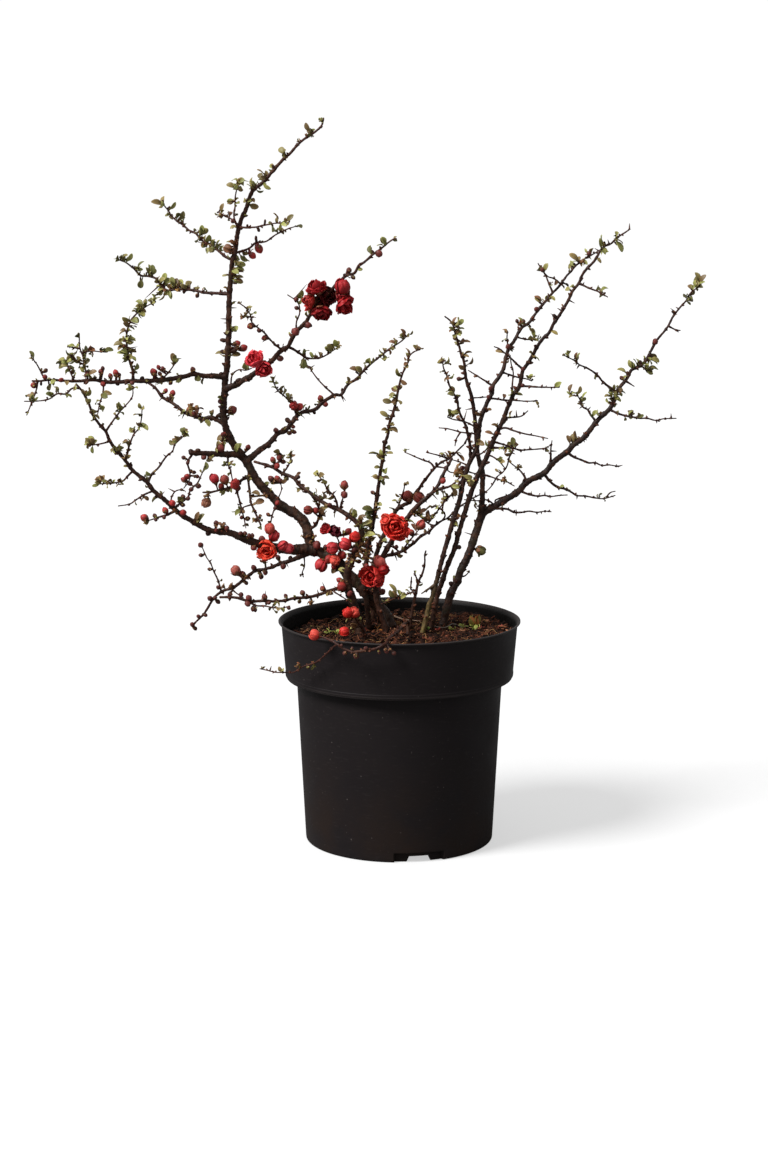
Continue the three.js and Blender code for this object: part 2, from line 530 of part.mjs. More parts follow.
const lathe = (outline, turns) =>
  toSolid(new THREE.LatheGeometry(outline.map(([r, z]) => new THREE.Vector2(r, z)), turns)
    .rotateX(Math.PI / 2));

function cornerArc(radius) {
  return [0, 0.5, 1].map((t) => {
    const angle = -Math.PI / 2 + (t * Math.PI) / 2;
    return [POT.bodyFoot - radius + radius * Math.cos(angle), radius + radius * Math.sin(angle)];
  });
}

// The inside of the wall, from the floor up to the lip, moved in by `gap`.
function innerWall(gap) {
  const inset = POT.wall + gap;
  const floorTop = POT.floorZ + POT.floorThickness;
  return [
    [POT.bodyFoot - inset, floorTop + gap],
    [POT.bodyTop - inset, POT.bodyTopZ + POT.wall + gap],
    [POT.collarFoot - inset, POT.collarFootZ + POT.wall + gap],
    [POT.collarTop - inset, POT.height - POT.lipBevel],
  ];
}

function potSolid() {
  const floorTop = POT.floorZ + POT.floorThickness;
  const lipFoot = POT.height - POT.lipDepth;
  const outline = [
    [0, POT.floorZ],
    [POT.bodyFoot - POT.footWall, POT.floorZ],
    [POT.bodyFoot - POT.footWall, 0],
    ...cornerArc(POT.cornerRadius),
    [POT.bodyTop, POT.bodyTopZ],
    [POT.collarFoot, POT.collarFootZ],
    [POT.collarTop, lipFoot - 1],
    [POT.lipRadius - POT.lipBevel, lipFoot],
    [POT.lipRadius, lipFoot + POT.lipBevel],
    [POT.lipRadius, POT.height - POT.lipBevel],
    [POT.lipRadius - POT.lipBevel, POT.height],
    [POT.collarTop - POT.wall + POT.lipBevel / 2, POT.height],
    ...innerWall(0).reverse(),
    [0, floorTop],
  ];
  const shell = lathe(outline, POT.turns);
  const drains = [...notchCutters(), ...holeCutters()];
  return drains.reduce((cut, tool) => cut.subtract(tool), shell);
}

// Shallow arches through the foot ring, with sloping sides, that let water out from under it.
function notchCutters() {
  const half = DRAIN.notchWidth / 2;
  const outline = new THREE.Shape([
    new THREE.Vector2(-half, -1),
    new THREE.Vector2(half, -1),
    new THREE.Vector2(half - DRAIN.notchHeight, DRAIN.notchHeight),
    new THREE.Vector2(-half + DRAIN.notchHeight, DRAIN.notchHeight),
  ]);
  return Array.from({ length: DRAIN.notches }, (_, i) => {
    const arch = new THREE.ExtrudeGeometry(outline, { depth: 30, bevelEnabled: false });
    arch.rotateX(Math.PI / 2);
    arch.translate(0, -POT.bodyFoot + 15, 0);
    arch.rotateZ(THREE.MathUtils.degToRad(DRAIN.notchTurn + (i * 360) / DRAIN.notches));
    return toSolid(arch);
  });
}

function holeCutters() {
  return Array.from({ length: DRAIN.holes }, (_, i) => {
    const angle = ((i + 0.5) * 2 * Math.PI) / DRAIN.holes;
    const hole = new THREE.CylinderGeometry(DRAIN.holeRadius, DRAIN.holeRadius, 12, 12);
    hole.rotateX(Math.PI / 2);
    hole.translate(
      DRAIN.holeCircle * Math.cos(angle), DRAIN.holeCircle * Math.sin(angle), POT.floorZ);
    return toSolid(hole);
  });
}

// The root ball of compost fills the pot to its collar. Its top swells round the stems and
// slopes down to the left and the front.
function compostSolid() {
  const wall = innerWall(SEAT).slice(0, 3);
  const lowest = COMPOST.surface - COMPOST.tilt - COMPOST.lump;
  const rise = (lowest - wall[2][1]) / (POT.height - POT.lipBevel - wall[2][1]);
  const rim = POT.collarFoot + (POT.collarTop - POT.collarFoot) * rise - POT.wall - SEAT;
  const surface = Array.from({ length: COMPOST.rings }, (_, i) => {
    const share = 1 - i / (COMPOST.rings - 1);
    return [rim * share, COMPOST.surface + COMPOST.crown * (1 - share ** 2)];
  });
  const outline = [[0, wall[0][1]], ...wall, ...surface];
  const geometry = new THREE.LatheGeometry(
    outline.map(([r, z]) => new THREE.Vector2(r, z)), COMPOST.sides).rotateX(Math.PI / 2);
  const position = geometry.attributes.position;
  for (let i = 0; i < position.count; i += 1) {
    const [x, y, z] = [position.getX(i), position.getY(i), position.getZ(i)];
    if (z < COMPOST.surface - 0.01) continue;
    const lumps = COMPOST.lump * Math.sin(x / 13) * Math.cos(y / 17);
    position.setZ(i, z + COMPOST.tilt * ((x + 0.4 * y) / rim) + lumps);
  }
  return toSolid(geometry);
}

// ---- assembly --------------------------------------------------------------------------

const limbs = new Map();
LIMBS.forEach((row) => limbs.set(row[0], new Limb(row, limbs)));

// Pieces in the order they are fitted. `make(margin)` builds a piece, and each later piece is
// cut clear of the ones already in place, so that it ends one seat gap away from them.
const pieces = [
  { name: "nursery_pot", colour: COLOURS.pot, roughness: 0.5, make: () => potSolid() },
  ...[...limbs.values()].map((limb) => ({
    name: limb.name, colour: COLOURS.bark, roughness: 0.8, make: (margin) => limb.solid(margin) })),
  ...BLOSSOMS.map((row) => ({
    name: row[0], colour: COLOURS.blossom, roughness: 0.6,
    make: (margin) => blossomSolid(row, limbs, margin) })),
  ...BUDS.map((row) => ({
    name: row[0], colour: COLOURS.bud, roughness: 0.5,
    make: (margin) => budSolid(row, limbs, margin) })),
  ...TUFTS.map((row) => ({
    name: row[0], colour: COLOURS.leaf, roughness: 0.6,
    make: (margin) => tuftSolid(row, limbs, margin) })),
  { name: "compost", colour: COLOURS.compost, roughness: 0.95, make: () => compostSolid() },
];

const overlaps = (a, b) => [0, 1, 2].every((k) => a.min[k] < b.max[k] && b.min[k] < a.max[k]);

function fitted(list) {
  const placed = [];
  return list.map((piece) => {
    let solid = piece.make(0);
    const box = solid.boundingBox();
    for (const other of placed) {
      if (other.clearance && overlaps(box, other.box)) solid = solid.subtract(other.clearance);
    }
    const body = largest(solid);
    const roomy = piece.name === "nursery_pot" ? null : piece.make(SEAT);
    placed.push({ clearance: roomy, box: roomy ? roomy.boundingBox() : box });
    return { ...piece, body };
  });
}

const shrub = new THREE.Group();
for (const { name, colour, roughness, body } of fitted(pieces)) {
  const material = new THREE.MeshStandardMaterial({ color: colour, roughness, metalness: 0 });
  const mesh = new THREE.Mesh(toGeometry(body), material);
  mesh.name = name;
  shrub.add(mesh);
}

// The origin goes to the floor under the middle of the whole object.
const middle = new THREE.Box3().setFromObject(shrub).getCenter(new THREE.Vector3());
shrub.position.set(-middle.x, -middle.y, 0);

export default shrub;
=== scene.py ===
"""A potted flowering quince shrub in early bloom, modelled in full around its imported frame.

The frame gives each limb, bud, blossom, leaf tuft, the pot and the compost as a plain solid.
Every one of them is replaced here by a detailed piece in the same place: bark with its nodes,
thorns and resting buds, petals in whorls, folded young leaves, a moulded pot and loose compost.

The tables are an elevation of the shrub in millimetres, x to the right and z up from the foot
of the pot's axis, as a viewer in front sees it. Depths are positive to the back.
"""

from __future__ import annotations

import json
import logging
import math
import re
from collections.abc import Iterable
from dataclasses import dataclass
from enum import Enum

import bpy
import numpy as np
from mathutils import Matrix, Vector

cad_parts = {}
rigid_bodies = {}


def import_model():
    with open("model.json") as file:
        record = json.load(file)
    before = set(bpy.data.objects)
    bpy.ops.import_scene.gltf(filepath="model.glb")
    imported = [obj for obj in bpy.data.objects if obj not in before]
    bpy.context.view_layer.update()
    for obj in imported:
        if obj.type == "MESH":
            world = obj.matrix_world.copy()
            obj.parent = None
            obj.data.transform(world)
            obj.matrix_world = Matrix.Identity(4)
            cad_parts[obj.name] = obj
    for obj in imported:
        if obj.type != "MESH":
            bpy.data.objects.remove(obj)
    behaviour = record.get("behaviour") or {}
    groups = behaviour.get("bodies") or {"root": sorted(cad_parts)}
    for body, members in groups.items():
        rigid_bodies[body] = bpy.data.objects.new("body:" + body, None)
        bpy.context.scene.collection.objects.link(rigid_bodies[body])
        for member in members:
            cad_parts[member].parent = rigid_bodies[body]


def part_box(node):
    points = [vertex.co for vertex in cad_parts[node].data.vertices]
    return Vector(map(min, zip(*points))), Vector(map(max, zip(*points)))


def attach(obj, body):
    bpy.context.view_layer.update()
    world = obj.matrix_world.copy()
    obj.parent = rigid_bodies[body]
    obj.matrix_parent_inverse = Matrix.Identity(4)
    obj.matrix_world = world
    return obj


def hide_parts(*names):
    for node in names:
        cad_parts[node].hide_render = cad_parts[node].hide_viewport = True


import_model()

LOG = logging.getLogger("quince")

MM = 0.001
VIEWER = 2230.0  # how far in front of the pot's axis the elevation's viewer stands
EYE = (-14.6, 659.0)  # the viewer's eye, right and up
FORK = (-32.0, 292.0)  # where the stems fork, right and up
FULL_TURN = 2.0 * math.pi
GOLDEN_TURN = math.radians(137.5)  # the angle between one bud and the next up a shoot
FRONT = np.array([0.0, -1.0, 0.0])
UP = np.array([0.0, 0.0, 1.0])
WHITE = (1.0, 1.0, 1.0, 1.0)
LEAFY = ("o", "g")  # the letters of the small buds that are opening into leaves

Array = np.ndarray


# ---- the shrub's elevation ---------------------------------------------------------------


@dataclass(frozen=True)
class Twig:
    """A side twig: its radius, its route, and how far it leans to the back over its length."""

    radius: float
    route: str
    lean: float | None


@dataclass(frozen=True)
class Growth:
    """One limb of the elevation and what grows on it.

    Depths and girths run from base to tip; depths start from the parent's. A leaf is marked by
    its tip and letters for its colour and size, a bud by its centre, radius and colour, a knob
    by its middle, a thorn by its tip, and a shoot by its route.
    """

    name: str
    parent: str
    depths: str
    girths: str
    route: str
    twigs: list[Twig]
    shoots: list[str]
    leaves: str = ""
    buds: str = ""
    knobs: str = ""
    thorns: str = ""


PLAN_TEXT = """
limb leader_stem
depths 10 16 24 30 32 28 22 16 10 4 0
girths 6.6 5.7 5.1 4.6 3.9 3.5 3.0 2.6 2.4 2.1 1.8 1.3 0.8
route -6,196 -12,212 -20,226 -30,238 -40,248 -49,257 -56,266 -64,273 -73,277 -81,281 -85,290
 -87,300 -91,308 -99,315 -111,322 -120,331 -130,341 -137,351 -142,361 -149,371 -156,381 -161,391
 -164,400 -165,410 -164.5,420 -163.5,430 -163,440 -161.5,450 -160.5,460 -159.3,480 -158.7,500
 -158,520 -156,540 -155,550 -152.3,560 -151,570 -149,580 -146,590 -142,598 -138,610 -135,616
 -126,623 -117,633 -107,644 -100,650 -95,656 -88,662 -80,667 -72,674 -70,680
twig 0.9 -150,583 -153,592 -152,600 -151.5,610 -150,618 -149,625
twig 0.9 -150,585 -156,590 -161,592 -167,596
twig 1 -146,582 -135,582 -125,584 -112,586 -103,585
twig 1.1 -151,559 -139,563 -133,568 -124,569 -115,575 -105,580 -96,583
twig 1.6/-6 -58,268 -56,278 -57,287 -60,294
leaves -52,262l -150,622 -144,625 -137,626 -130,622 -146,616 -128,634l -118,640 -109,653 -105,651
 -92,662 -87,677 -81,665 -74,679 -70,681s -138,606 -132,601 -143,607 -135,606 -121,618 -127,615
 -149,553 -143,549 -138,549 -140,543 -152,541 -147,533 -145,530 -164,539s -153,581 -158,606
 -148,604 -145,616 -158,621 -148,620 -149,625 -170,595 -163,602 -158,596r -103,585 -100,592
 -115,593 -92,583l -114,580 -105,578 -160,565r -157,568r -163,563r -160,560r -154,486 -151,490
 -170,466 -148,466 -169,424 -157,408 -167,385p -163,384p -83,669 -109,652 -128,630 -141,624
 -146,623 -137,623 -144,621 -139,620 -159,606 -149,593 -158,589 -106,584 -117,580 -159,568 -145,541
 -147,537 -150,540 -152,537 -143,552 -153,487 -169,386 -162,382 -149,380 -123,343 -62,258
buds -154,588,2.3d -165,592,2.5o -130,562,4.2v -136,556,3.4v -151,475,3c -145,471,3.5c
 -168,421,2.4d -156,413,4d -165,390,2.4c -91,293,1.8o -87,293,1.8o -84,288,1.8o -80,293,1.8o
 -78,285,4.2d -70,283,2.4d -48,298,3.4c -67,271,4.3c -62,264,3c -54,275,4.4c
knobs -131,579 -125,588 -141,584 -133,573 -166,478 -169,407 -153,468 -166,467
thorns -151,508 -167,498 -164,494
limb upper_left_bough leader_stem
depths 0 14 24 28
girths 1.3 1.05 0.85 0.55
route -154,552 -161,555 -167,560 -172,564 -177,567 -184,571 -188,576 -194,579 -200,584 -206,588
 -210,592 -214,598 -219,604
leaves -178,560p -172,562 -182,564 -176,574 -170,569 -167,568 -186,569o -183,581 -178,580 -189,580
 -196,579 -204,594 -200,595 -198,590 -202,587 -214,594 -212,599 -208,604 -227,606l -218,610
 -221,602 -213,592 -182,582 -188,570 -173,570 -164,565 -176,560 -144,547 -149,549
knobs -177,567
limb high_left_bough leader_stem
depths 0 14 24 30 26
girths 1.5 1.2 1.15 0.95 0.6
route -158,521 -170,521.5 -180,522 -190,524 -200,525 -208,525 -216,524 -222,530 -226,535 -231,537
 -240,538 -246,544 -254,550 -262,553
leaves -187,527 -182,525 -203,532l -201,529 -205,524o -202,526 -221,528l -213,530o -208,533d
 -217,538 -224,536 -213,518 -218,523r -227,519 -243,514 -222,515p -231,545 -227,544 -243,545
 -238,549 -253,556 -248,557 -262,554 -257,556 -229,546 -234,544 -219,534 -215,534 -217,530 -212,531
 -211,535 -227,532 -205,533 -196,532 -223,521 -214,519
buds -188,519,2d
knobs -162,522 -199,522
thorns -194,532 -196,531 -237,516 -232,514
limb left_arm leader_stem
depths 0 -18 -34 -44 -50
girths 2.5 2.1 2.2 1.9 1.6 1.2 0.8
route -163,444 -175,444.5 -185,445 -192,446.5 -200,444.5 -212,442 -222,441 -235,440 -250,440
 -262,439 -275,439 -285,441 -298,440 -310,440 -325,441 -335,440 -343,440
twig 0.8 -331,441 -334,447 -338,455 -343,462
twig 0.8 -304,440 -309,453 -311,459
twig 0.9/9 -291,441 -293,450 -295,462 -298,472 -298,484
twig 1.3/-12 -249,440 -249,450 -252,460 -254,472 -254,484 -250,496 -244,503 -236,509 -228,513
twig 0.8/-8 -338,440 -339,433 -344,420 -349,408
twig 0.8/-9 -277,439 -277,430 -281,417 -283,407
twig 0.9 -222,441 -214,450 -209,457
leaves -188,440 -184,438 -208,440 -215,439 -205,460 -212,464 -344,467 -317,457 -309,459 -303,450
 -309,472 -303,471 -278,467r -285,468r -306,464 -303,460 -271,428 -284,419 -277,413 -244,455
 -256,463 -247,468 -260,478 -248,480 -259,488 -247,490 -256,499 -243,497 -247,507 -238,503 -232,517
 -229,520 -227,512 -225,516 -241,512 -243,514 -237,514 -244,508 -239,501 -256,494 -245,496 -251,476
 -251,487 -250,482 -248,477 -300,484 -257,460 -257,462 -258,468 -261,477 -261,467 -267,469 -261,470
 -264,473 -304,469 -302,464 -299,462 -292,470 -247,468 -249,463 -286,464 -292,462 -291,458 -292,465
 -308,461 -309,464 -210,464 -317,455 -320,457 -317,460 -304,453 -303,448 -298,451 -298,454 -311,451
 -289,450 -285,450 -246,448 -284,445 -226,438 -325,437 -327,433 -311,437 -346,426 -274,426
buds -193,451,2.5d -214,438,2d -225,453,2.2v -221,452,2c -230,449,3v -224,447,2d -342,436,2.8c
 -331,444,2.4c -330,450,2d -316,441,2.4c -292,446,2.4d -279,449,2.2c -277,452,2d -270,445,2.4c
 -265,448,3v -262,446,2d -277,437,2.6c -250,438,2.2d -228,449,2c -257,472,2c
knobs -166,447 -263,437 -335,437 -304,443 -240,443
thorns -207,439 -243,492 -244,472
shoot -298,470 -303,471 -309,472
shoot -293,467 -286,468 -278,467
shoot -293,455 -303,460 -306,464
limb second_arm leader_stem
depths 0 14 26 30
girths 2 1.8 1.5 1.1
route -165,401 -170,403 -176,406 -183,404.5 -188,406 -195,408 -202,411 -208,416 -215,421 -222,425
 -226,431 -230,435 -236,439
leaves -187,402 -176,411 -206,408 -180,400 -211,424
buds -196.5,413.5,4.3o -190,414.5,4.0o -192.5,409.5,2.8d -186.5,409,2o -218.5,431,2.4v
 -212,429,2.8v
knobs -214,424 -176,405
thorns -225,421 -204,404
limb blossom_bough leader_stem
depths 0 -14 -30 -46 -58 -66
girths 2.8 2.3 2 1.8 1.5 1.1 0.7
route -163,433 -158,434.5 -152,437 -147,440 -142,443 -137,446 -128,452 -120,458 -117,461 -113,466
 -108,470 -104,472 -101,478 -97,485 -92,490 -87,495 -84,500 -72,515 -60,528 -49,538 -42,540 -38,547
 -33,550 -25,557 -18,562 -8,570 -4,572
twig 1 -111,470 -116,474 -121,479 -126,485 -131,489 -137,494 -139,502 -143,508 -150,513
twig 1.2 -104,472 -98,469 -92,465 -87,461.5 -78,461 -73,462 -67,465 -57,472
twig 0.8/8 -97,487 -96,495 -93,503 -94,512 -98,516 -104,520
leaves -147,498 -143,505 -139,508 -136,499r -134,503 -150,513 -86,469 -78,465 -74,467 -66,472
 -61,475 -57,471 -90,454 -27,563 -15,571 -3,571 -37,545 -81,529s -84,522s -16,571 -28,564 -91,521
 -92,518 -88,502 -68,469 -63,474 -68,474 -143,457
buds -111,461,3d -126,480,2.8c -139,491,3c -131,487,2.2d -147,500,2o -97,486,4d -85,492,3d
 -96,516,2.5d -96,508,2d -19,558,3.5d -47,543,2.4d -43,536,2.2d
knobs -151,441 -139,442 -113,473 -83,491 -51,538
thorns -131,493 -128,476 -86,530
shoot -158,435 -156,446 -150,450.5 -143,450 -138,452
limb right_mid_bough leader_stem
depths 0 20 36 50 60 66
girths 2.9 2.3 2 1.7 1.3 1 0.6
route -142,366 -136,371 -130,376 -124,380 -119,385 -114,391 -108,393 -104,397 -100,402 -96,407
 -90,411 -83,412 -78,414 -73,419 -66,424 -60,427 -55,427 -52,431 -48,437 -40,442 -36,447 -28,455
 -17,464 -8,471 0,476 7,482
twig 1 -97,408 -100,417 -104,422 -109,427 -113,430 -116,435 -119,441
twig 0.9 -61,427 -68,433 -74,439 -79,445 -84,452 -88,457
leaves -92,408 -88,418s -77,418 -101,424 -107,434 -118,444 -115,439 -49,441 -37,446 -39,452 -45,452
 -28,460l -14,462 -15,470 -7,469 -5,478 3,485 8,483 2,486 -6,479 -5,470 -14,462 -91,453 -93,456
 -108,435 -101,426
buds -116,394,2.5d -103,391,2.2c -98.5,392,2.2c -99.5,397,2c -93.5,416,3.8v -74,424,3c -69,418,2.5c
knobs -123,379 -106,404 -80,410
thorns -117,429 -30,446 -50,421 -52,420 -79,455
limb stubby_bough leader_stem
depths 0 -16 -28
girths 3 2.7 2.6 2.4 2.2
route -148,370 -155,371 -165,371 -175,371.5 -185,372 -196,372.5
twig 1 -161,371 -161,362 -159,356 -157,346
twig 1.1/5 -194,371 -199,363 -197,354 -198,346 -203,339
leaves -180,364p -177,365p -170,384p -165,386p -152,379 -165,360 -156,360 -160,358
buds -184,368,2.6d -168,377,4d -166,390,2c -142,378,2.5c -203,368,2d -199,363,2d -193,354,2d
 -190,350,2c -200,350,3c -203,347,3c -197,343,2.4d
knobs -196,374 -189,375
limb inner_twig leader_stem
depths 0 -9 -16 -20
girths 1.2 1 0.9
route -141,357 -142,345 -141,335 -140,325 -137,318 -134,311 -131,304
twig 0.8/-7 -140,323 -148,320 -151,313
leaves -133,333dl -128,328 -131,312d -137,307d -134,316p -138,308 -131,301
buds -126,332,2.5o
limb bud_spur_bough leader_stem
depths 0 9 14 16
girths 1.6 1.4 1.1 0.8
route -139,352 -148,347 -155,342 -162,339 -170,337 -178,335 -185,335
twig 1.1/-24 -154,341 -152,332 -150,324 -148,316 -146,307 -145,301
twig 0.9/0 -180,335 -180,328
leaves -154,347p -167,334 -154,315 -157,317 -160,337
buds -168,341,3c -155,343,5.2v -152,339,3d -181,332,2.6o -149,311,2c -143,310,2.5d
thorns -153,323
limb lower_left_bough leader_stem
depths 0 -22 -40 -52 -62 -70
girths 4.6 4.0 3.5 2.6 2.2 2.0 1.7 1.5 1.2 0.9
route -80,280 -92,281 -100,280 -110,281 -120,283 -133,286 -142,289 -150,292 -160,296.5 -170,297.5
 -180,299 -190,304 -198,309 -205,313 -212,319 -218,325 -225,331 -232,337 -237,344 -244,350 -251,356
 -256,363 -262,371 -268,378 -272,384 -275,392 -280,398 -287,408 -291,420 -297,431 -302,437
twig 0.9 -272,383 -280,381 -290,379.5
twig 0.9/9 -275,393 -271,399 -262,411 -250,425 -249,433
twig 1/-10 -257,365 -255,374 -253,381 -249,390 -244,396 -242,403 -241,413
twig 1 -251,355 -256,350 -260,346 -268,344 -282,343
twig 1.1/12 -236,345 -233,352 -227,358 -222,365 -218,370 -213,374 -211,380 -206,385 -200,391
twig 1 -232,336 -240,333 -248,328 -254,324 -265,322
twig 1.3/-8 -211,318 -218,314 -225,312 -231,310 -237,308
twig 1.1/14 -212,320 -205,326 -199,331 -197,337 -190,344 -187,350 -184,357
twig 0.9/-14 -299,433 -306,433 -312,428 -320,428 -328,423 -342,421 -351,421
leaves -190,314 -186,312 -207,330 -237,354 -243,328 -232,329 -210,387 -203,395 -200,392 -247,408
 -238,396 -252,395 -246,401 -262,418 -264,406 -250,434 -262,380 -257,383 -268,373 -257,370l
 -293,381l -289,386 -262,347 -266,343 -274,346 -275,341 -284,344 -283,349 -279,350 -291,431
 -291,420 -286,412 -289,402 -323,434 -312,427 -330,427 -341,426 -107,347d -328,430 -252,434
 -290,432 -304,432 -263,414 -264,419 -240,414 -285,410 -253,396 -199,390 -290,387 -211,385 -260,383
 -261,380 -294,383 -292,378 -296,380 -270,374 -181,364 -239,351 -282,351 -286,347 -232,327 -210,328
buds -167,303,3.5o -163,301,2.6d -173,299,2c -173,306,2.4d -150,296,2.2d -146,296,2.2d
 -142,294,2.2d -139,294,2.2d -138,282,3d -130,291,3d -214,325,3.2v -221,318,3.2v -212,318,2.5o
 -204,316,3.2c -204,323,2.2d -199,329,2.2d -241,311,3.5c -239,306,2.5g -231,313,2d -230,309,2d
 -222,311,2d -189,341,2.5d -204,331,2.2d -196,338,2.4d -124,314,2c -115,325,2.5v -117,320,2d
 -121,348,3.2d -115,348,3.2c -112,346,2.4d -120,344,2.2g
knobs -181,295 -191,310
thorns -145,285 -212,373 -222,371 -251,375 -254,359 -221,336 -218,339 -222,331
shoot -214,321 -215,329 -211,336 -204,338
shoot -121,284 -122,302 -120,313 -117,322 -114,330 -111,338 -112,344
limb fork_stem
depths -6 -12 -18 -20 -14 -4 6 14
girths 4.6 4.2 3.6 2.8 2.2 1.9 1.7 1.5 1.3
route -38,205 -41,218 -45,232 -49,246 -49,258 -45,270 -40,281 -36,292 -37,302 -43,309 -50,314
 -58,319 -68,323 -78,330 -86,336 -93,341 -100,349 -110,353 -120,359 -129,362 -136,364
twig 1 -58,319 -60,328 -63,333 -68,338 -71,344 -77,352
twig 1.2/-4 -56,318 -54,327 -52,335
twig 1 -110,353 -106,358 -103,364 -101,371
twig 1.1/-6 -121,359 -116,362 -112,366 -110,370
leaves -36,287rs -45,279rs -48,271rs -40,284rs -42,274rs -45,280rs -48,277os -44,275rs -49,272rs
 -46,269os -50,268rs -43,284rs -41,279os -116,375 -105,370 -100,370 -103,364 -93,355rs -95,338
 -88,339p -70,334d -66,330s -78,337s -72,353 -78,355 -76,345 -54,321rs -44,318l -63,312s -33,311d
 -24,306d -21,312 -26,295l -50,255pl -66,242s -64,239s -58,244 -56,262 -52,346s -108,370 -108,349
 -73,333 -68,330 -71,321 -42,318 -42,302 -49,276
buds -113,368,3d -119,366,3c -115,360,3c -109,364,2.5d -52,333,3.5d -55,245,4.6c -57,251,3c
 -47,238,3d -37,309,2.6o -66,323,2.4d -44,270,2.6o -40,275,2.8o -43,280,2.4d -37,279,2.7o
 -36,286,2.8o -32,284,2.3d -31,290,2.6o -34,272,2.4o -41,288,2.4o -47,275,2.2d -50,281,2o
 -38,269,2.2d -30,278,2.2o -46,290,2.2d
knobs -95,350 -49,246
thorns -59,337 -48,305
limb leafy_spur leader_stem
depths 0 -12 -16
girths 1.5 1.2 0.8
route -87,299 -80,303 -77,308 -75,315 -78,325 -83,332
twig 0.9/-4 -76,312 -80,315 -83,318
leaves -76,322 -72,318 -70,312o -77,310o -80,326 -70,316 -73,309
buds -79,318,3.2c
limb centre_stem
depths 4 6 0 -10 -20 -24
girths 2.6 2.4 2.1 2 1.7 1.5 1.3 1 0.6
route -29,206 -31,228 -33,243 -33,258 -31,270 -29,283 -27,296 -25,306 -23,318 -21,332 -20,340
 -18.5,350 -17,360 -15,370 -14,380 -11,390 -9,402 -6,410 -3.5,420 -1,433 2,445 5,452 8,458 9,463
 13,467 18,469
leaves -29,317d -32,281rs -28,276rs -34,277rs -36,287rs -33,290rs -39,284os -31,281rs -28,279os
 -35,281rs -30,285os -27,275rs -29,272os -26,279rs -34,276rs -37,279os -9,427 -14,422 0,421 -1,415
 -19,411 -6,398 -15,394 -4,393 -9,377 -8,373 -26,371l -20,370 -22,359s -12,356 -25,350 -12,349p
 -18,323 -33,319dl -19,318 -22,313 -5,435 6,438 -1,449 8,453 6,461 14,473 20,470 6,469 -33,300
 -10,425 -16,348 -20,312 -29,311 -32,312 -22,296 -24,291
buds -25.5,335,2d -20,272,3.5c -31,264,3c -21,242,3.8d -16,240,3d
knobs -15,383 -22,333 -27,315
thorns -11,413
limb back_stem
depths 34 32 28 18 6 -4 -8
girths 2.5 2.4 2.2 2.1 2 1.7 1.3 1 0.7
route -24,214 -27,232 -27,250 -24,268 -19,284 -12,300 -6,312 -2,319 4,323 10,326 14,333 18,338
 22,344 28,352 34,359 40,364 46,366.5 51,371 57,377 61,381
twig 0.9 -2,318 1,328 4,337 5,343
twig 0.9/9 33,358 29,363 21,366 12,370 5,373
twig 0.8/-8 46,366 40,369 33,371 25,373
leaves 5,343 8,343 7,376 46,370pl 42,373 48,373 60,366 -9,321s -6,327s -3,334s 44,372 -21,293
 -14,288
buds 44,358,2.4d 54,354,4.4o 59,358,2.6d
knobs 21,341 23,347 34,362
thorns 28,366
shoot 34,360 42,358 48,354 54,354
shoot 62,381 64,387 68,392
limb front_stem
depths -6 -6 -18 -28 -24 -18
girths 2.8 2.6 2.4 2.4 2.2 1.7 1.2
route -13,204 -19,222 -22,238 -22,252 -18,268 -10,284 0,300 8,311 14,319 20,325 27,331 33,337
 37,343 40,350 43,356 47,363 49,367
twig 1.5/-6 34,336 41,339 48,341 54,346 57,351
leaves 41,333p 53,333l 53,345l 70,348 12,306
buds 41,346,3c
knobs 27,331 33,337
thorns 36,328 26,325
limb right_low_bough leader_stem
depths 0 -2 -4 -4 -2 0
girths 1.8 1.7 1.6 1.4 1.2 0.8
route -42,250 -37,257 -29,262 -20,268 -13,274 -5,276 3,279 10,284 15,288 20,293 27,297 33,303
 40,308 45,310
twig 1/-8 3,279 8,287 13,293 18,299
twig 0.9 33,303 28,305 24,308 18,313
twig 0.8/-6 41,308 43,313 40,318 36,320 33,322
twig 0.8/8 0,278 -5,282 -10,284 -15,283
leaves 9,289 16,317 22,312l 27,315 18,320 31,312 13,303rl 13,316pl 24,318 20,314 30,310d 36,320
 33,322 0,276 5,281 42,326 53,333 42,332 26,318 25,313 24,299 1,274 54,333 42,334 35,321p 40,316s
 56,312r 54,303 59,302s 74,322s
buds -3,283,2.2d 11,297,3c
knobs 28,296 30,302
thorns -2,269
shoot 40,318 42,326 46,331 51,334
shoot 45,311 53,318 62,325 70,330 78,334 83,337 88,343 91,348
shoot 31,311 35,316 40,323 49,333 54,341 59,348
limb greenwood_cane
depths -20 -18 -14 -4 10 24 36
girths 2.4 2.2 2.1 2.2 2.1 1.9 1.7 1.4 1.1 0.7
route 21,194 24,208 28,225 33,241 37.5,259 42.5,279 48,298 51,310 55,322 58,334 60,345 63,356
 67,366 72,376 74,388 75,400 78,410 82,420 86,428 88,437 93,444 97,452 99,462 102,471 107,478
 111,486 114,490 120,494 125,501 131,509 137,516 141,521 146,526 150,531 155,538 159,542 163,547
 167,550 172,554 178,557
twig 1.5/-5 34,247 27,242 21,238
twig 0.8/10 74,390 66,391 57,392 50,394 43,395.5 37,396
twig 0.9/-8 73,396 63,401 56,403 50,404 45,406
twig 1/8 86,436 80,440 72,445 64,450
twig 0.9/16 84,424 92,423 98,422 105,422 112,421.5 118,421 129,421.5
twig 0.9/14 96,448 105,445 112,443 118,442 123,440
twig 0.8 101,470 100,478 100,485
twig 0.8/10 112,480 120,478.5 128,478.5
twig 0.9/8 141,523 138,531 135,538 131,544 128,549
leaves 76,411r 72,410 98,427 98,460 87,470 96,477 101,485l 126,516 143,516 139,516 124,487 121,481
 126,481 128,478 133,545 137,547 128,543 143,530d 155,529d 158,545 159,551 160,557l 171,565s
